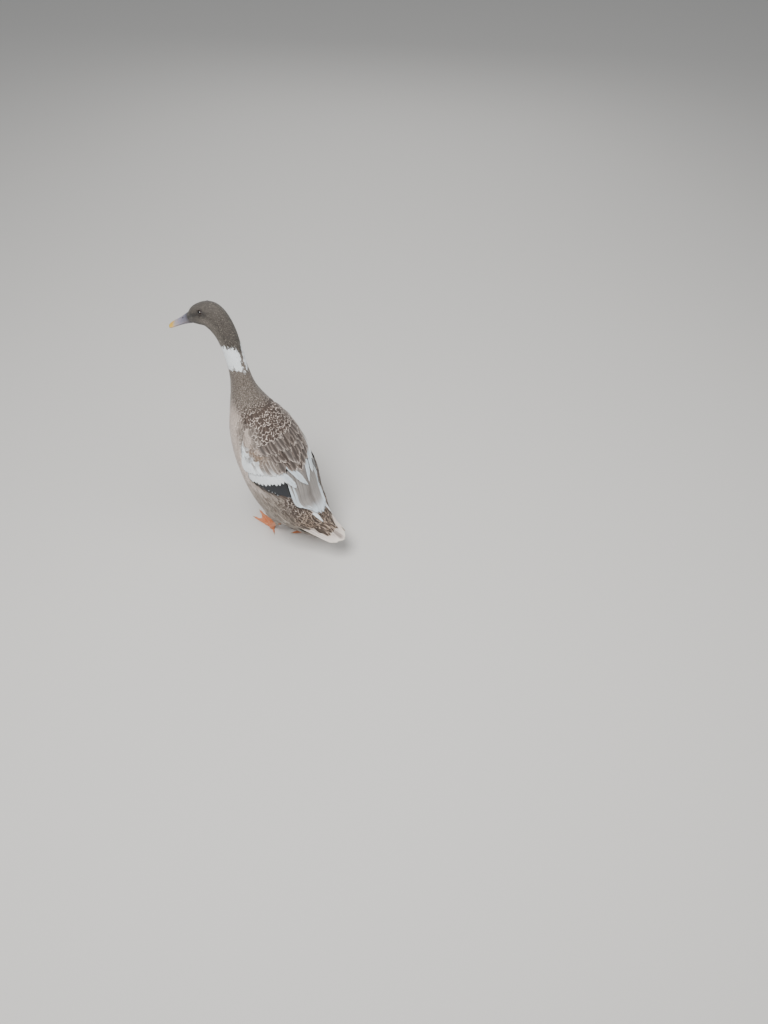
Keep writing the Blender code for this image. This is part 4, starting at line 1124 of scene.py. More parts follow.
def body_coat():
    """Contour feathers of trunk, neck and head, smallest on the face."""
    full, side, cheek, mantle = math.pi, math.radians(100), math.radians(60), math.radians(54)
    back_length = visible_length(((4.4, 8.5), (6, 8.0), (8, 7.2), (9.6, 6.4), (10.2, 5.2), (10.9, 3.9)))
    front_length = visible_length(((3.2, 7.5), (6, 6.2), (8.5, 5.4), (10, 4.6), (10.9, 3.6)))
    thin_length = visible_length(((10.8, 3.7), (12.4, 3.0), (13.8, 2.4)))
    face_length = visible_length(((13.7, 2.2), (15.4, 1.65), (16.8, 1.05)))
    tail_length = visible_length(((1.6, 10.5), (3.2, 9.5), (4.5, 8.5)))
    fine = (3.6, 0.62, 0.15, 0.13, 0.045, 0.06, 0.20)
    flat = (3.0, 0.90, 0.16, 0.15, 0.032, 0.05, 0.11)
    streaked = (4.2, 0.56, 0.16, 0.15, 0.030, flank_sweep, 0.12)
    narrow = (4.0, 0.50, 0.12, 0.16, 0.030, 0.05, 0.14)
    slim = (3.5, 0.62, 0.16, 0.16, 0.04, 0.04, 0.15)
    spacing = {streaked: 0.80, narrow: 0.74, slim: 0.88, fine: 0.90}
    middle, small, tiny = MIDDLE_FEATHER, SMALL_FEATHER, TINY_FEATHER
    regions = (
        # name, slot's last word, ends, angles, visible length, feather, form
        ("rump_coat", "body", (4.4, 2.40), (-full, full), tail_length, middle, narrow),
        ("back_coat", "body", (10.8, 7.5), (-side, side), back_length, middle, flat),
        ("mantle_coat", "body", (10.0, 8.75), (-mantle, mantle), back_length, middle, flat),
        ("breast_coat", "body", (10.8, 7.2), (side, 2 * full - side), front_length, middle, flat),
        ("flank_coat", "body", (7.2, 4.4), (side, 2 * full - side), front_length, middle, streaked),
        ("side_coat", "body", (7.50, 4.4), (-side, side), front_length, middle, streaked),
        ("neck_coat", "neck", (13.75, 12.3), (-full, full), thin_length, small, slim),
        ("lower_neck_coat", "neck", (12.3, 10.8), (-full, full), thin_length, small, slim),
        ("crown_coat", "head", (16.83, 13.7), (-cheek, cheek), face_length, tiny, fine),
        ("left_cheek_coat", "head", (16.83, 13.7), (cheek, full), face_length, tiny, fine),
        ("right_cheek_coat", "head", (16.83, 13.7), (full, 2 * full - cheek), face_length, tiny, fine),
    )
    for k, (name, slot, ends, angles, visible, feather, form) in enumerate(regions):
        random = np.random.default_rng(20 + k)
        surface = mantle_form if name == "mantle_coat" else coat_form
        roots = tract(surface, *ends, *angles, visible, random, spacing.get(form, 1.0))
        t, a, step, _ = roots.T
        keep = outside_wing(t, a) | (name == "mantle_coat")
        for reach in (0.0, 1.0, 2.0, 2.8, 3.5):
            keep &= eye_distance(skin(t - reach * step, a)) > EYE_CLEARANCE
        upper, _ = wing_edge(t, np.sign(wrap(a)))
        if name == "side_coat":
            keep &= np.abs(wrap(a)) > upper + 0.03
        if name == "rump_coat":
            # The side of the tail is left to its quills, between its upper and under coverts
            deg = np.degrees(np.abs(wrap(a)))
            low = np.interp(t, (2.6, 3.3, 3.8, 4.4), (128, 114, 99, 93))
            keep &= (deg < np.interp(t, (2.5, 3.0, 3.5, 4.0, 4.25), (36, 54, 64, 82, 105))) | (deg > low)
        finish = tail_covert_feather if name == "rump_coat" else contour_feather
        thing = coat(name, surface, roots[keep], feather, finish, body_markings, random, form)
        ride(thing, "plumage_" + slot)


# Height of the folded wing's rounded shoulder over the skin, at stations
SHOULDER = np.array(((4.9, 0.0), (7.0, 0.0050), (7.6, 0.0072), (8.2, 0.0080), (8.8, 0.0080), (9.6, 0.0062)))


def wing_shell(side):
    """The rounded shoulder of the folded wing, over which its small coverts lie."""

    def surface(t, a, h=0.0):
        t, a, h = np.broadcast_arrays(np.asarray(t, float), a, h)
        upper, lower = wing_edge(t, side)
        v = np.clip((np.abs(wrap(a)) - upper) / (lower - upper), 0, 1)
        round_edge = np.sqrt(np.clip(1 - (2 * v - 1) ** 4 * 0.98, 0, 1))
        top = np.interp(t, SHOULDER[:, 0], SHOULDER[:, 1]) * round_edge
        return skin(t, a, h + top - bed(t, a))

    return surface


def covert_markings(t, a, random):
    """Small coverts: pale grey-brown at the shoulder, warmer in the middle, mottled white in front."""
    deg = np.degrees(np.abs(wrap(a)))
    r1, r2 = random.uniform(-1, 1, t.shape), random.uniform(-1, 1, t.shape)
    uneven = ripple(t, a, 13.0, 2.0)
    edge = np.interp(t, [7.2, 7.6, 8.0, 8.6, 9.3], [44, 52, 60, 72, 80])
    white = smooth(-4, 9, deg - edge + 4 * uneven + 6 * r1)
    pale = smooth(8.3, 9.2, t + 0.3 * r1 + 0.2 * uneven)
    ginger = bump(t, 8.3, 0.5) * bump(deg, 58, 12)
    tone = blend(PALETTE["covert"], PALETTE["ginger"], ginger * 0.6)
    tone = blend(tone, PALETTE["covert_dark"], smooth(0.1, 0.9, r2 + 0.4 * uneven) * 0.8)
    tone = blend(tone, PALETTE["breast"], pale * 0.75)
    speckled = smooth(-0.5, 0.2, r2)
    tone = blend(tone, blend(PALETTE["mottle"], PALETTE["white"], speckled), white)
    rim = blend(PALETTE["covert_rim"], PALETTE["white"], white)
    tone = tone * (1 + 0.12 * r1 * (1 - 0.6 * white))[..., None]
    return tone, 0.75 * (1 - white) * (1 - 0.4 * pale), rim, 0.13 + 0.05 * r2 + 0.12 * white


def paint_tier(tier, share, random):
    """The markings of one long feather of a tier. share counts from the upper to the lower one."""
    r = random.uniform(-1, 1)

    def paint(x, v):
        ones = np.ones_like(v)
        if tier == "median_covert":
            white = smooth(0.05, 0.55, share + 0.2 * r + 0.9 * (v - 0.85)) * ones
            tone = blend(PALETTE["covert"], PALETTE["white"], white)
            rim = blend(PALETTE["covert_rim"], PALETTE["white"], white)
            return tone * (1 + 0.1 * r), 0.6 * (1 - white), rim, 0.13
        if tier == "greater_covert":
            tone = blend(PALETTE["covert"], PALETTE["white"], smooth(0.30, 0.55, v))
            return tone, 0.06, PALETTE["white"], 0.05
        if tier == "secondary":
            dark = blend(PALETTE["speculum"], PALETTE["speculum_blue"], 0.4 * smooth(-0.2, 0.8, x) * ones)
            tone = blend(dark, PALETTE["white"], smooth(0.945, 0.96, v + 0.01 * x))
            return tone, 0.2 * ones * (v < 0.93), tone, 0.02
        if tier == "low_primary":
            return PALETTE["primary"] * (0.72 + 0.1 * r), 0.4, PALETTE["primary"] * 1.3, 0.10
        if tier == "primary":
            tone = blend(PALETTE["primary"], PALETTE["white"], smooth(0.45, 0.72, v + 0.15 * x))
            return tone, 0.25, PALETTE["white"], 0.10
        if tier == "tertial":
            tone = blend(PALETTE["tertial"], PALETTE["tertial_dark"], smooth(0.5, -0.7, x + 0.3 * r))
            edge = smooth(0.12, 0.34, x + 0.06 * r) * smooth(0.12, 0.26, v) * (share > 0.7)
            tip = smooth(0.76, 0.96, v) * 0.9
            tone = blend(tone, PALETTE["blue_white"], np.maximum(edge, tip))
            return tone, 0.35, tone * 1.08, 0.04
        if tier == "white_scapular":
            white = smooth(0.16, 0.40, v + 0.1 * np.abs(x))
            return blend(PALETTE["tertial_dark"], PALETTE["blue_white"], white), 0.30, PALETTE["white"], 0.10
        dark = blend(PALETTE["mantle"], PALETTE["tertial_dark"], (0.22 + 0.30 * r) * ones)
        pale = smooth(0.16, 0.02, np.abs(edge_of(x, v) - 0.38)) * 0.22
        rim = blend(PALETTE["mantle_rim"], PALETTE["tertial"], 0.2 + 0.2 * r)
        return blend(dark, PALETTE["mantle_rim"], pale), 0.85, rim, 0.10 + 0.02 * r

    return paint


def edge_of(x, v):
    """About how far a point of a long feather lies from its edge, in half widths."""
    return feather_width(v, 0.66) - np.abs(x)


# Tiers of the folded wing from the lowest layer to the top one: number of feathers, root line and
# tip line (upper end, lower end) as (station, degrees from the back), half width, height over the
# bed at root and tip, climb from one to the next, and least height over the bed
TIERS = {
    "primary": (
        5, ((5.5, 18), (5.8, 29)), ((2.75, 10), (3.75, 14)),
        0.0044, 0.0012, 0.0016, -0.0005, -0.0012,
    ),
    "low_primary": (
        6, ((7.2, 52), (7.3, 88)), ((5.60, 38), (6.62, 82)),
        0.0080, 0.0008, 0.0026, 0.0, -0.001,
    ),
    "secondary": (
        11, ((7.1, 36), (7.2, 72)), ((5.72, 34), (6.74, 70)),
        0.0068, 0.0013, 0.0044, 0.0, -0.001,
    ),
    "greater_covert": (
        12, ((7.9, 32), (7.9, 89)), ((6.58, 30), (7.02, 93)),
        0.0071, 0.0024, 0.0060, 0.0, -0.001,
    ),
    "median_covert": (
        11, ((8.3, 36), (8.3, 87)), ((7.06, 31), (7.48, 91)),
        0.0079, 0.0044, 0.0080, 0.0, 0.0,
    ),
    "tertial": (
        6, ((7.3, 2), (7.0, 27)), ((3.35, 0), (4.3, 20)),
        0.0108, 0.0014, 0.0070, 0.0, -0.0004,
    ),
    "white_scapular": (
        2, ((8.1, 32), (7.7, 41)), ((6.04, 3), (6.26, 19)),
        0.0072, 0.0014, 0.0088, 0.0, 0.0006,
    ),
    "low_scapular": (
        5, ((7.9, 3), (7.9, 37)), ((6.72, 0), (7.12, 34)),
        0.0095, 0.0020, 0.0086, 0.0, 0.0008,
    ),
    "middle_scapular": (
        6, ((8.4, 3), (8.4, 38)), ((7.12, 1), (7.60, 33)),
        0.0082, 0.0022, 0.0096, 0.0, 0.0012,
    ),
    "high_scapular": (
        7, ((8.9, 3), (8.9, 46)), ((7.72, 1), (8.02, 42)),
        0.0076, 0.0030, 0.0100, 0.0, 0.0014,
    ),
    "top_scapular": (
        8, ((9.5, 4), (9.4, 50)), ((8.34, 1), (8.52, 47)),
        0.0070, 0.0030, 0.0098, 0.0, 0.0012,
    ),
}


# The right wing lies a little wider and lower, so these tip lines differ there
RIGHT_TIPS = {"tertial": ((3.20, -13), (3.50, 22)), "primary": ((2.93, 26), (3.75, 20))}


def wing(name, side):
    """The feathers of one folded wing, tier over tier."""
    random = np.random.default_rng(7 if side > 0 else 8)
    groups = {"flight": [], "speculum": [], "scapular": []}
    for tier, (count, roots, tips, half, low, high, climb, clear) in TIERS.items():
        spacing = math.radians(abs(roots[1][1] - roots[0][1])) * TRUNK_RADIUS / (count - 1)
        loose = 1.0 if "scapular" in tier else 0.4
        tips = RIGHT_TIPS.get(tier, tips) if side < 0 else tips
        # Where the two wings' tertials meet on the back, the left ones lie on top
        lift = 0.0006 if tier == "tertial" and side > 0 else 0.0
        for k in range(count):
            share = k / (count - 1)
            root = [roots[0][j] + (roots[1][j] - roots[0][j]) * share for j in (0, 1)]
            tip = [tips[0][j] + (tips[1][j] - tips[0][j]) * share for j in (0, 1)]
            tip[0] += (root[0] - tip[0]) * random.uniform(-0.08, 0.08) * loose
            tip[1] += random.uniform(-2.5, 2.5) * loose
            for end in (root, tip):
                shift = wing_edge(end[0], side)[0] - wing_edge(end[0], 1)[0]
                end[1] = (math.radians(end[1]) + float(shift)) * side
            rise = climb * (k - count + 1)
            feather = {
                "root": root, "tip": tip, "half": half * random.uniform(0.92, 1.08), "side": side,
                "low": low + rise * 0.3 + lift, "high": high + rise + lift,
                "base": lambda t: -bed_floor(t), "clear": clear + random.uniform(0, 0.0004) * loose,
                "tilt": 0.0 if climb else min(0.0010 / spacing, 0.16),
                "bend": math.radians(2.5 if tier == "tertial" else random.uniform(-1.5, 1.5) * loose) * side,
                "ragged": 0.12 if "scapular" in tier else 0.05,
                "paint": paint_tier(tier, share, random), "chance": random.uniform(0, 1),
            }
            group = "speculum" if tier == "secondary" else "scapular" if "scapular" in tier else "flight"
            groups[group].append(feather)
    long = big_feathers(name + "_feathers", skin, groups["flight"], flight_feather)
    glossy = big_feathers(name + "_speculum", skin, groups["speculum"], speculum_feather)
    soft = big_feathers(name + "_scapulars", skin, groups["scapular"], contour_feather, point=0.62)
    shell = wing_shell(side)
    low, high = sorted((math.radians(30) * side, math.radians(99) * side))
    roots = tract(shell, 9.36, 7.60, low, high, visible_length(((7.5, 6.8), (9.6, 5.2))), random)
    upper, lower = wing_edge(roots[:, 0], side)
    angle = np.abs(roots[:, 1])
    reach = (lower - upper) * np.interp(roots[:, 0], (8.6, 9.3), (0.50, 0.28))
    middle = np.abs(angle - (upper + lower) / 2) < reach
    roots = roots[(angle > upper - 0.05) & (angle < lower + 0.02) & ((roots[:, 0] < 8.6) | middle)]
    form = (2.9, 0.84, 0.14, 0.17, 0.035, -0.05, 0.12)
    coverts = coat(
        name + "_coverts", shell, roots, MIDDLE_FEATHER, contour_feather, covert_markings, random, form
    )
    ride(long, "plumage_wing", name)
    for thing in (glossy, soft, coverts):
        ride(thing, "plumage_wing")


# How high the fan of quills arches over the middle of the tail, as a share of the tail's own height
FAN_RISE = 0.60
QUILL_PAIRS = 8


def tail_fan(t, s, h=0.0):
    """The fan of the tail: s is the way to the left of its middle line as a share of its half width."""
    t, s, h = np.broadcast_arrays(np.asarray(t, float), s, h)
    ones = np.ones(t.size)
    angles = (math.pi / 2, -math.pi / 2, 0.0, math.pi)
    left_side, right_side, back, belly = (skin(t.ravel(), ones * k) for k in angles)
    left, up = unit(left_side - right_side), unit(back - belly)
    middle = (left_side + right_side) / 2
    half = np.linalg.norm(left_side - right_side, axis=1) / 2
    rise = np.linalg.norm(back - middle, axis=1)
    share = np.ravel(s)
    arch = FAN_RISE * rise * np.sqrt(np.clip(1 - share**2, 0.05, 1))
    points = middle + left * (share * half)[:, None] + up * (np.ravel(h) + arch)[:, None]
    return points.reshape(*t.shape, 3)


def tail():
    """The fan of quills, the outer ones pale and in sight along the whole side of the tail."""
    random = np.random.default_rng(9)
    feathers = []
    for k in sorted((k + 0.5 for k in range(-QUILL_PAIRS, QUILL_PAIRS)), key=abs, reverse=True):
        outer = abs(k) / (QUILL_PAIRS - 0.5)
        level = abs(k) - 0.5 + (0.0 if k > 0 else 0.5)

        def paint(x, v, outer=outer, r=random.uniform(-1, 1)):
            pale = blend(PALETTE["quill"], PALETTE["quill_rim"], 0.25 + 0.55 * outer + 0.15 * r)
            middle = smooth(0.85, 0.30, np.abs(x)) * smooth(1.0, 0.75, v)
            tone = blend(PALETTE["quill_rim"], pale, middle)
            return tone, 0.75 - 0.3 * outer, PALETTE["quill_edge"], 0.12

        root_side, tip_side = (0.97, 0.74) if k > 0 else (-0.95, -0.66)
        tip_station = 0.10 + (0.48 * outer**2 + 0.10) * random.uniform(0.7, 1.1)
        feathers.append({
            "root": (2.2 + 1.8 * outer, outer * root_side), "tip": (tip_station, outer * tip_side),
            "side": -1, "slender": 0.75, "tilt": 0.0,
            "half": 0.0080, "low": 0.0010 - level * 0.00035, "high": 0.0010 - level * 0.00045,
            "cup": 0.10, "paint": paint, "ragged": 0.04, "chance": random.uniform(0, 1), "ease": 1.0,
        })
    quills = big_feathers("tail_quills", tail_fan, feathers, flight_feather, point=0.78)
    ride(quills, "plumage_tail", "tail")


def eye_material():
    """Wet cornea over a brown iris and a round black pupil, told apart by the distance from the axis."""
    material, tree, shader = new_material(
        "eye", Roughness=0.04, IOR=1.376, Coat_Weight=1.0, Coat_Roughness=0.01
    )
    iris = add(tree, "ShaderNodeAttribute", attribute_name="iris")
    ramp = add(tree, "ShaderNodeValToRGB", {0: iris.outputs["Fac"]})
    set_stops(ramp, ((0.44, "060505"), (0.50, "2c1b12"), (0.78, "1c120c")))
    connect(tree, shader, {"Base Color": ramp})
    return material


def set_stops(ramp, stops):
    """Gives a colour ramp its stops as (position, colour)."""
    for k, (position, code) in enumerate(stops):
        element = ramp.color_ramp.elements[k] if k < 2 else ramp.color_ramp.elements.new(position)
        element.position = position
        element.color = opaque(code)


def lid_material():
    """Bare skin of the eyelids: dark, soft and fine-wrinkled."""
    material, tree, shader = new_material(
        "eyelid skin", Roughness=0.62, IOR=1.45, Base_Color=opaque("312b27")
    )
    spot = add(tree, "ShaderNodeTexCoord").outputs["Object"]
    # Folds about 0.4 mm apart
    folds = add(tree, "ShaderNodeTexNoise", {"Vector": spot, "Scale": 2600.0, "Detail": 2.0})
    relief = add(tree, "ShaderNodeBump", {"Height": folds, "Strength": 0.4, "Distance": 0.0002})
    connect(tree, shader, {"Normal": relief})
    return material


def eyes():
    """Each eye: a glassy ball with a brown iris, and the ring of its two lids."""
    eye_finish, lid_finish = eye_material(), lid_material()
    for side, name in ((1, "eye_left"), (-1, "eye_right")):
        centre, out, ahead, up = EYES[side]
        from_axis = np.linspace(0.02, math.pi - 0.02, 40)
        round_axis = np.linspace(0, 2 * math.pi, 56, endpoint=False)
        u, v = np.meshgrid(from_axis, round_axis, indexing="ij")
        polar = np.stack([np.sin(u) * np.cos(v), np.sin(u) * np.sin(v), np.cos(u)], -1)
        cornea = 1.0 + 0.05 * smooth(0.75, 1.0, polar[..., 2])
        points = centre + EYE_RADIUS * 0.985 * cornea[..., None] * (polar @ np.stack([ahead, up, out]))
        iris = np.sin(u) + (polar[..., 2] < 0)
        ball = loft(name + "_ball", points, [("iris", "FLOAT", iris[..., None])])
        ball.data.materials.append(eye_finish)
        ride(ball, "eye_glass", name)
        rings = []
        for angle in np.linspace(0, 2 * math.pi, 72, endpoint=False):
            across = math.cos(angle) * ahead + math.sin(angle) * up
            inner = LID_INNER * (1.0 + 0.13 * math.cos(angle) ** 2 - 0.10 * math.sin(angle) ** 2)
            rise = math.sqrt(EYE_RADIUS ** 2 - inner ** 2)
            fall = 1.0 - 0.55 * math.sin(angle)
            # What lies over the brow falls off less than what lies over the cheek
            rings.append([
                centre + across * (inner + reach) + out * (rise + high * (fall if high < -0.0001 else 1.0))
                for reach, high in LID_SECTION
            ])
        count, around = len(rings), len(LID_SECTION)
        faces = grid_faces(count + 1, around, closed=True) % (count * around)
        lid = mesh_object(name + "_lids", np.array(rings).reshape(-1, 3), faces)
        lid.data.materials.append(lid_finish)
        fix_normals(lid)
        ride(lid, "plumage_head")


BILL_LENGTH = 0.067
# The bill at shares of its length: half width, then the ridge's height over the middle line, and
# the depth of the mouth's edge and of the chin under it
BILL_SHAPE = np.array((
    (0.00, 0.0125, 0.0111, 0.0030, 0.0117),
    (0.14, 0.0112, 0.0092, 0.0036, 0.0098),
    (0.32, 0.0102, 0.0066, 0.0040, 0.0082),
    (0.52, 0.0102, 0.0044, 0.0038, 0.0072),
    (0.72, 0.0110, 0.0028, 0.0036, 0.0064),
    (0.86, 0.0108, 0.0016, 0.0038, 0.0062),
    (0.95, 0.0080, 0.0004, 0.0042, 0.0060),
    (1.00, 0.0040, -0.0012, 0.0048, 0.0058),
))
NAIL_FROM = 0.90


def eased(share, column):
    """The bill's sizes without corners: the table's lines, softened over a tenth of the length."""
    spread = np.linspace(-0.05, 0.05, 9)
    reads = [np.interp(np.clip(share + d, 0, 1), BILL_SHAPE[:, 0], BILL_SHAPE[:, column]) for d in spread]
    exact = np.interp(share, BILL_SHAPE[:, 0], BILL_SHAPE[:, column])
    soft = np.mean(reads, 0)
    return soft + (exact - soft) * smooth(0.90, 1.0, share)


def bill_part(name, shares, upper):
    """One half of the bill as rings over its length, with its own place as an attribute."""
    centre, forward, left, up = frame_at(BILL_CUT)
    angles = np.linspace(0, 2 * math.pi, 120, endpoint=False)
    x, y = np.cos(angles), np.sin(angles)
    rings, marks = [], []
    for share in shares:
        width, ridge, mouth, chin = (float(eased(np.array(share), k)) for k in range(1, 5))
        if upper:
            dome = np.abs(y) ** 0.9
            flare = 0.0006 * smooth(0.35, 0.0, np.abs(y)) * smooth(0.25, 0.5, share)
            height = np.where(y > 0, (ridge + mouth) * dome, -0.0005 * np.abs(y)) - mouth
            side = x * (width + flare)
            hole, rim = nostril(share, x, y)
            side = side - np.sign(x) * (0.0016 * hole - 0.00025 * rim)
            height = height - 0.0010 * hole + 0.00025 * rim
        else:
            width *= 0.94
            fall = np.where(y > 0, 0.0, (chin - mouth) * np.abs(y) ** 0.8)
            height = -mouth - 0.0009 - fall + 0.0003 * (y > 0)
            side = x * width
        base = centre + forward * (0.0002 + share * BILL_LENGTH)
        rings.append(base + np.outer(side, left) + np.outer(height, up))
        # Painted shade: the depth in a nostril goes with the points, so that the finish paints the hole dark
        dark = nostril(share, x, y)[0] if upper else 0 * x
        marks.append(np.stack([np.full(len(x), share), y * (1 if upper else -1), dark], 1))
    return loft(name, rings, [("bill", "FLOAT_VECTOR", np.array(marks))])


def nostril(share, x, y):
    """How deep a point of the upper bill lies in a nostril, and how far on its rim, from 0 to 1."""
    away = np.hypot((share - 0.23) / 0.048, (y - 0.80) / 0.085) + 9.0 * (np.abs(x) < 0.2)
    return smooth(1.0, 0.55, away), smooth(0.75, 1.05, away) * smooth(1.7, 1.1, away)


def bill_material():
    """Soft skin over horn: lilac-grey, darker at its root, pale along its edge and yellow at the tip, with
    painted shade in its nostrils.

    It reads the bill's own place, bill: x along from the root, y up from the mouth's edge, and z the
    depth in a nostril."""
    material, tree, shader = new_material(
        "bill skin", Roughness=0.42, Subsurface_Weight=0.08, Subsurface_Scale=0.002, IOR=1.5, Coat_Weight=0.15
    )
    mark = add(tree, "ShaderNodeAttribute", attribute_name="bill")
    along, rise, depth = add(tree, "ShaderNodeSeparateXYZ", {0: mark.outputs["Vector"]}).outputs
    spot = add(tree, "ShaderNodeTexCoord").outputs["Object"]
    # Clouds of colour about 4 mm across
    cloud = add(tree, "ShaderNodeTexNoise", {"Vector": spot, "Scale": 260.0, "Detail": 4.0})
    uneven = add(tree, "ShaderNodeMath", {0: cloud, 1: 0.16, 2: -0.08}, operation="MULTIPLY_ADD")
    where = add(tree, "ShaderNodeMath", {0: along, 1: uneven}, operation="ADD")
    ramp = add(tree, "ShaderNodeValToRGB", {0: where})
    set_stops(ramp, (
        (0.0, "4d4a50"), (0.12, "6f6c78"), (0.45, "928d9c"),
        (0.64, "ab9e9a"), (0.76, "dcb14a"), (0.92, "ecb52a"),
    ))
    low = add(tree, "ShaderNodeMapRange", {
        "Value": rise, "From Min": 0.35, "From Max": 0.05, "To Min": 0.0, "To Max": 0.8,
    })
    far = add(tree, "ShaderNodeMapRange", {
        "Value": along, "From Min": 0.45, "From Max": 0.8, "To Min": 0.1, "To Max": 0.5,
    })
    edge = add(tree, "ShaderNodeMath", {0: low, 1: far}, operation="MULTIPLY")
    pale = add(tree, "ShaderNodeMix", {0: edge, 6: ramp.outputs[0], 7: opaque("d6bfae")}, data_type="RGBA")
    # Painted shade: the nostrils are painted near-black by their depth, for the dark inside the hole
    hole = add(tree, "ShaderNodeMix", {0: depth, 6: pale.outputs[2], 7: opaque("1d1a1c")}, data_type="RGBA")
    # Pores about 0.7 mm apart, coarser than real ones so that they show
    pores = add(tree, "ShaderNodeTexNoise", {"Vector": spot, "Scale": 1500.0, "Detail": 3.0})
    relief = add(tree, "ShaderNodeBump", {"Height": pores, "Strength": 0.15, "Distance": 0.0003})
    connect(tree, shader, {"Base Color": hole.outputs[2], "Normal": relief})
    return material


def horn_material(name, code, roughness):
    """Horn of the nail and claws: smooth, waxy and a little see-through."""
    material, tree, shader = new_material(
        name, Roughness=roughness, Subsurface_Weight=0.1, Subsurface_Scale=0.001, IOR=1.55, Coat_Weight=0.2
    )
    spot = add(tree, "ShaderNodeTexCoord").outputs["Object"]
    # Streaks about 2.4 mm apart
    streaks = add(tree, "ShaderNodeTexNoise", {"Vector": spot, "Scale": 420.0, "Detail": 2.0})
    dark, pale = (*linear(code) * 0.8, 1), (*np.minimum(linear(code) * 1.15, 1), 1)
    shade = add(tree, "ShaderNodeMix", {0: streaks, 6: dark, 7: pale}, data_type="RGBA")
    connect(tree, shader, {"Base Color": shade.outputs[2]})
    return material


def bill():
    """Both halves of the bill and its nail. The rings stand closest round the nostrils."""
    horn = bill_material()
    round_nostrils = np.linspace(0.16, 0.31, 34)
    shares = np.r_[-0.02, np.linspace(0, 0.15, 12), round_nostrils, np.linspace(0.32, NAIL_FROM, 46)]
    upper = bill_part("bill_upper_skin", shares, True)
    lower = bill_part("bill_lower_skin", np.r_[-0.02, np.linspace(0, 0.93, 56)], False)
    nail = bill_part("bill_nail_horn", np.r_[np.linspace(NAIL_FROM + 0.004, 0.99, 14), 0.996, 1.0], True)
    for thing, node in ((upper, "bill_upper"), (lower, "bill_lower")):
        thing.data.materials.append(horn)
        ride(thing, "bill_horn", node)
    nail.data.materials.append(horn_material("bill nail", "d8b85f", 0.38))
    ride(nail, "nail_horn", "bill_nail")


# Half width and half depth of the shank at shares of the way down
SHANK_FORM = (
    (0.0, 0.0062, 0.0074),
    (0.12, 0.0064, 0.0080),
    (0.3, 0.0044, 0.0058),
    (0.8, 0.0042, 0.0052),
    (1.0, 0.0056, 0.0062),
)
# The foot's root: way forward and down from the ankle, half width and half depth
FOOT_ROOT = ((0.0, -0.002, 0.0056, 0.0062), (0.001, 0.005, 0.0062, 0.0074), (0.003, 0.0105, 0.0066, 0.0082))
# Toes: name, degrees from the foot's heading, length, radius
TOES = (("outer", 21, 0.061, 0.0036), ("middle", 0, 0.067, 0.0038), ("inner", -24, 0.050, 0.0034))
HIND_TOE = ("hind", 160, 0.017, 0.0026)
# A toe's radius at its tip as a share of that at its root
TOE_TAPER = 0.66
CLAW_LENGTH = 0.0065


def leg_material():
    """Scaly leg skin: orange scutes parted by dark seams, waxy, with blood showing through."""
    material, tree, shader = new_material(
        "leg skin", Roughness=0.5, Subsurface_Weight=0.12, Subsurface_Scale=0.003,
        Subsurface_Radius=(1.0, 0.35, 0.2), IOR=1.45, Coat_Weight=0.08,
    )
    spot = add(tree, "ShaderNodeTexCoord").outputs["Object"]
    # Scutes about 1.5 mm wide
    cells = add(tree, "ShaderNodeTexVoronoi", {"Vector": spot, "Scale": 680.0}, feature="DISTANCE_TO_EDGE")
    seam = add(tree, "ShaderNodeMapRange", {
        "Value": cells.outputs["Distance"], "From Min": 0.0, "From Max": 0.12,
    })
    # Paler patches about 8 mm across
    cloud = add(tree, "ShaderNodeTexNoise", {"Vector": spot, "Scale": 120.0, "Detail": 4.0})
    mixed = add(tree, "ShaderNodeMix", {0: cloud, 6: opaque("de7f4e"), 7: opaque("e89b70")}, data_type="RGBA")
    dark = add(tree, "ShaderNodeMath", {0: seam, 1: 0.28, 2: 0.72}, operation="MULTIPLY_ADD")
    final = add(tree, "ShaderNodeVectorMath", {0: mixed.outputs[2], "Scale": dark}, operation="SCALE")
    relief = add(tree, "ShaderNodeBump", {"Height": seam, "Strength": 0.6, "Distance": 0.0003})
    connect(tree, shader, {"Base Color": final, "Normal": relief})
    return material


def tube(name, path, widths, depths, around=40):
    """A closed tube along a path, with its half width across and half depth along the stride."""
    path = np.asarray(path, float)
    angles = np.linspace(0, 2 * math.pi, around, endpoint=False)
    x, y = np.cos(angles), np.sin(angles)
    rings = []
    for i, point in enumerate(path):
        along = unit(path[min(i + 1, len(path) - 1)] - path[max(i - 1, 0)])
        side = unit(np.array([1.0, 0, 0]) - along * along[0])
        other = np.cross(along, side)
        rings.append(point + np.outer(x * widths[i], side) + np.outer(y * depths[i], other))
    return loft(name, rings)


def fused(name, things, voxel, rounds):
    """Grows several closed forms into one smooth skin."""
    thing = join(name, things)
    step = thing.modifiers.new("grow together", "REMESH")
    step.mode = "VOXEL"
    step.voxel_size = voxel
    soften = thing.modifiers.new("soften", "SMOOTH")
    soften.iterations = rounds
    graph = bpy.context.evaluated_depsgraph_get()
    made = bpy.data.meshes.new_from_object(thing.evaluated_get(graph))
    thing.modifiers.clear()
    thing.data = made
    made.polygons.foreach_set("use_smooth", np.ones(len(made.polygons), bool))
    made.materials.clear()
    return thing


def flatten(thing):
    """Presses what lies under the floor flat onto it."""
    spots = np.empty(3 * len(thing.data.vertices), np.float32)
    thing.data.vertices.foreach_get("co", spots)
    spots[2::3] = np.maximum(spots[2::3], 0.0)
    thing.data.vertices.foreach_set("co", spots)
    thing.data.update()


def toe_line(ankle, side, turn, angle, length, share):
    """The point at a share of a toe's length on the floor, and the way the toe points."""
    heading = math.radians(angle - turn) * side
    ahead = np.array([math.sin(heading), -math.cos(heading), 0.0])
    return np.array([ankle[0], ankle[1], SHIFT[2]]) + ahead * length * share, ahead


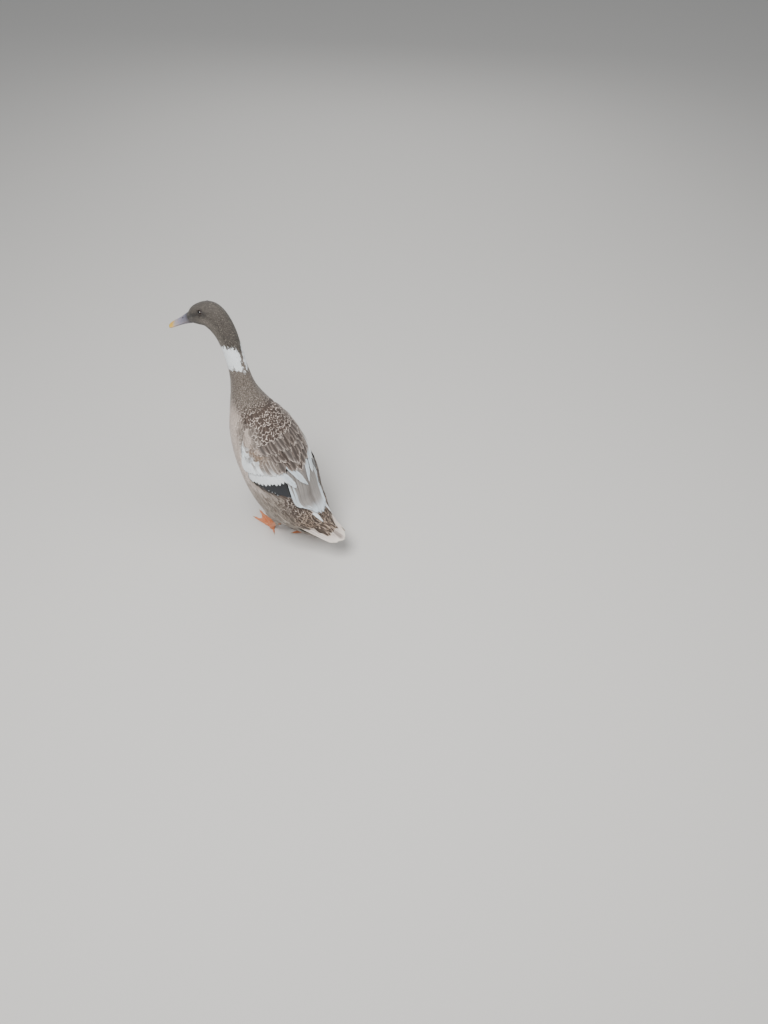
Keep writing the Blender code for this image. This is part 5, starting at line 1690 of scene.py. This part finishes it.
def toe(name, ankle, side, turn, angle, length, radius):
    """One toe with its knuckles, and its claw."""
    shares = np.linspace(-0.04, 1.0, 46)
    knuckle = 1.0 + 0.20 * bump(shares, 0.36, 0.06) + 0.20 * bump(shares, 0.68, 0.06)
    radii = radius * np.interp(shares, [0, 1], [1.0, TOE_TAPER]) * knuckle
    radii *= np.sqrt(np.clip((1.02 - shares) / 0.06, 0.05, 1))
    angles = np.linspace(0, 2 * math.pi, 24, endpoint=False)
    x, y = np.cos(angles), np.sin(angles)
    rings = []
    for share, r in zip(shares, radii):
        point, ahead = toe_line(ankle, side, turn, angle, length, share)
        left = np.array([-ahead[1], ahead[0], 0])
        height = np.maximum(r * 0.8 + r * y, 0.0)
        rings.append(point + np.outer(r * x, left) + np.outer(height, [0, 0, 1.0]))
    body = loft(name, rings)
    rings = []
    end = radius * TOE_TAPER
    for share in np.linspace(-0.3, 1.0, 16):
        r = np.interp(share, (-0.3, 0.25, 0.65, 1.0), (0.62, 0.52, 0.34, 0.10))
        low = np.interp(share, (-0.3, 0.25, 0.65, 1.0), (0.75, 0.70, 0.46, 0.20))
        point, ahead = toe_line(ankle, side, turn, angle, length, 1.0)
        left = np.array([-ahead[1], ahead[0], 0])
        height = end * (low + r * y)
        point = point + ahead * CLAW_LENGTH * share
        rings.append(point + np.outer(end * r * x, left) + np.outer(height, [0, 0, 1.0]))
    return body, loft(name + "_claw", rings)


def web(ankle, side, turn):
    """The web between the toes, hollow between their tips, with fine folds."""
    rows, columns = 30, 49
    angles = np.linspace(TOES[0][1], TOES[2][1], columns)
    reach = []
    for angle in angles:
        first = 0 if angle > TOES[1][1] else 1
        k = (angle - TOES[first][1]) / (TOES[first + 1][1] - TOES[first][1])
        length = TOES[first][2] + (TOES[first + 1][2] - TOES[first][2]) * k
        reach.append(length * (0.93 - 0.22 * math.sin(math.pi * k)))
    top = np.zeros((rows, columns, 3))
    for j, angle in enumerate(angles):
        for i in range(rows):
            share = 0.05 + 0.95 * i / (rows - 1)
            top[i, j] = toe_line(ankle, side, turn, angle, reach[j], share)[0]
            top[i, j, 2] += 0.0016 + 0.0003 * math.sin(angle * 2.1) * math.sin(i * 0.5)
    low = top.copy()
    low[..., 2] = SHIFT[2] + 0.0003
    points = np.concatenate([top.reshape(-1, 3), low.reshape(-1, 3)])
    count = rows * columns
    faces = [tuple(f) for f in grid_faces(rows, columns)]
    faces += [tuple(f[::-1] + count) for f in grid_faces(rows, columns)]
    index = np.arange(count).reshape(rows, columns)
    border = np.concatenate([index[0], index[1:, -1], index[-1, -2::-1], index[-2:0:-1, 0]])
    for p, q in zip(border, np.roll(border, -1)):
        faces.append((q, p, p + count, q + count))
    thing = mesh_object("web", points, np.array([tuple(map(int, f)) for f in faces]))
    fix_normals(thing)
    return thing


def legs():
    """Both legs from the hock down: shank, toes and web as one skin, and the claws."""
    scaly = leg_material()
    horn = horn_material("claw horn", "b59a76", 0.42)
    for which, (side, _, hock, ankle, turn) in LEGS.items():
        hock, ankle = place(hock), place(ankle)
        share = np.linspace(0, 1, 40)
        form = np.array(SHANK_FORM)
        widths, depths = (np.interp(share, form[:, 0], form[:, k]) for k in (1, 2))
        top = hock - np.array([0, 0, 0.0003]) + (hock - ankle) * 0.06
        path = top + (ankle - top) * share[:, None]
        rows = np.array(FOOT_ROOT)
        down = [ankle + np.array([0.0, -r[0], -r[1]]) for r in rows]
        parts = [tube("root", down, rows[:, 2], rows[:, 3]), tube("shank", path, widths, depths)]
        claws = []
        for name, *sizes in TOES + (HIND_TOE,):
            body, claw = toe(name, ankle, side, turn, *sizes)
            parts.append(body)
            claws.append(claw)
        parts.append(web(ankle, side, turn))
        foot = fused("leg_" + which + "_skin", parts, voxel=0.0005, rounds=5)
        flatten(foot)
        foot.data.materials.append(scaly)
        ride(foot, "leg_skin", "shank_" + which, "foot_" + which)
        claw = join("claws_" + which, claws)
        claw.data.materials.append(horn)
        ride(claw, "leg_skin")


def thigh_coats():
    """Small soft feathers over the thighs, down to the hock, 5 mm of each in sight."""
    form = (2.8, 0.80, 0.16, 0.20, 0.04, 0.0, 0.14)
    for k, which in enumerate(LEGS):
        random = np.random.default_rng(40 + k)
        surface = thigh_form(which)
        roots = tract(surface, 0.98, 0.03, -math.pi, math.pi, lambda t: 0.0050, random)

        def markings(t, a, random):
            r = random.uniform(-1, 1, t.shape)
            tone = PALETTE["flank"] * (1 + 0.2 * r)[:, None]
            return tone, 0.5 + 0 * r, PALETTE["flank_rim"] * (1 + 0 * r)[:, None], 0.2 + 0 * r

        name = "thigh_coat_" + which
        thing = coat(name, surface, roots, SMALL_FEATHER, contour_feather, markings, random, form)
        ride(thing, "plumage_body")


# The photograph's view: where the camera stands, the way it looks, and its lens in millimetres
CAMERA_SPOT, CAMERA_LOOK = (0.8368, 0.9453, 1.5812), (-0.5050, -0.3570, -0.7859)
CAMERA_LENS = 27.04


def studio():
    """A pale floor, three soft lights and the camera at the photograph's view."""
    bpy.ops.mesh.primitive_plane_add(size=30, location=(0, 0, 0))
    floor = bpy.context.object
    floor.name = "floor"
    floor.data.materials.append(new_material("studio floor", Roughness=0.8, Base_Color=opaque("d8d5d0"))[0])
    floor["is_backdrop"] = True
    world = bpy.context.scene.world or bpy.data.worlds.new("studio")
    bpy.context.scene.world = world
    world.use_nodes = True
    sky = world.node_tree.nodes["Background"]
    connect(world.node_tree, sky, {"Color": opaque("dfe3e8"), "Strength": 0.40})
    for name, spot, power, size in (
        ("key", (0.9, 0.3, 2.6), 80, 1.1),
        ("fill", (-1.8, -1.0, 1.6), 12, 2.0),
        ("back", (-0.4, 1.8, 1.9), 18, 1.5),
    ):
        light = bpy.data.lights.new(name, "AREA")
        light.energy, light.size = power, size
        lamp = bpy.data.objects.new(name, light)
        lamp.location = spot
        lamp.rotation_euler = (Vector((0, 0, 0.3)) - Vector(spot)).to_track_quat("-Z", "Y").to_euler()
        bpy.context.scene.collection.objects.link(lamp)
    camera = bpy.data.objects.new("camera", bpy.data.cameras.new("camera"))
    camera.data.sensor_width = 36
    camera.data.lens = CAMERA_LENS
    camera.location = np.array(CAMERA_SPOT) + SHIFT
    camera.rotation_euler = Vector(CAMERA_LOOK).to_track_quat("-Z", "Y").to_euler()
    bpy.context.scene.collection.objects.link(camera)
    bpy.context.scene.camera = camera


body_skin = make_skin()
ride(body_skin, "plumage_body", "torso", "thigh_left", "thigh_right", "neck_lower", "neck_upper", "head")
body_coat()
thigh_coats()
wing("wing_left", 1)
wing("wing_right", -1)
tail()
eyes()
bill()
legs()
for feathers in (TINY_FEATHER, SMALL_FEATHER, MIDDLE_FEATHER):
    for feather in list(feathers.objects):
        bpy.data.objects.remove(feather)
    bpy.data.collections.remove(feathers)
studio()
visual_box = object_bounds()
boxes = {"cad": cad_box, "visual": visual_box}
{k: [[float(c) for c in corner] for corner in box] for k, box in boxes.items()}
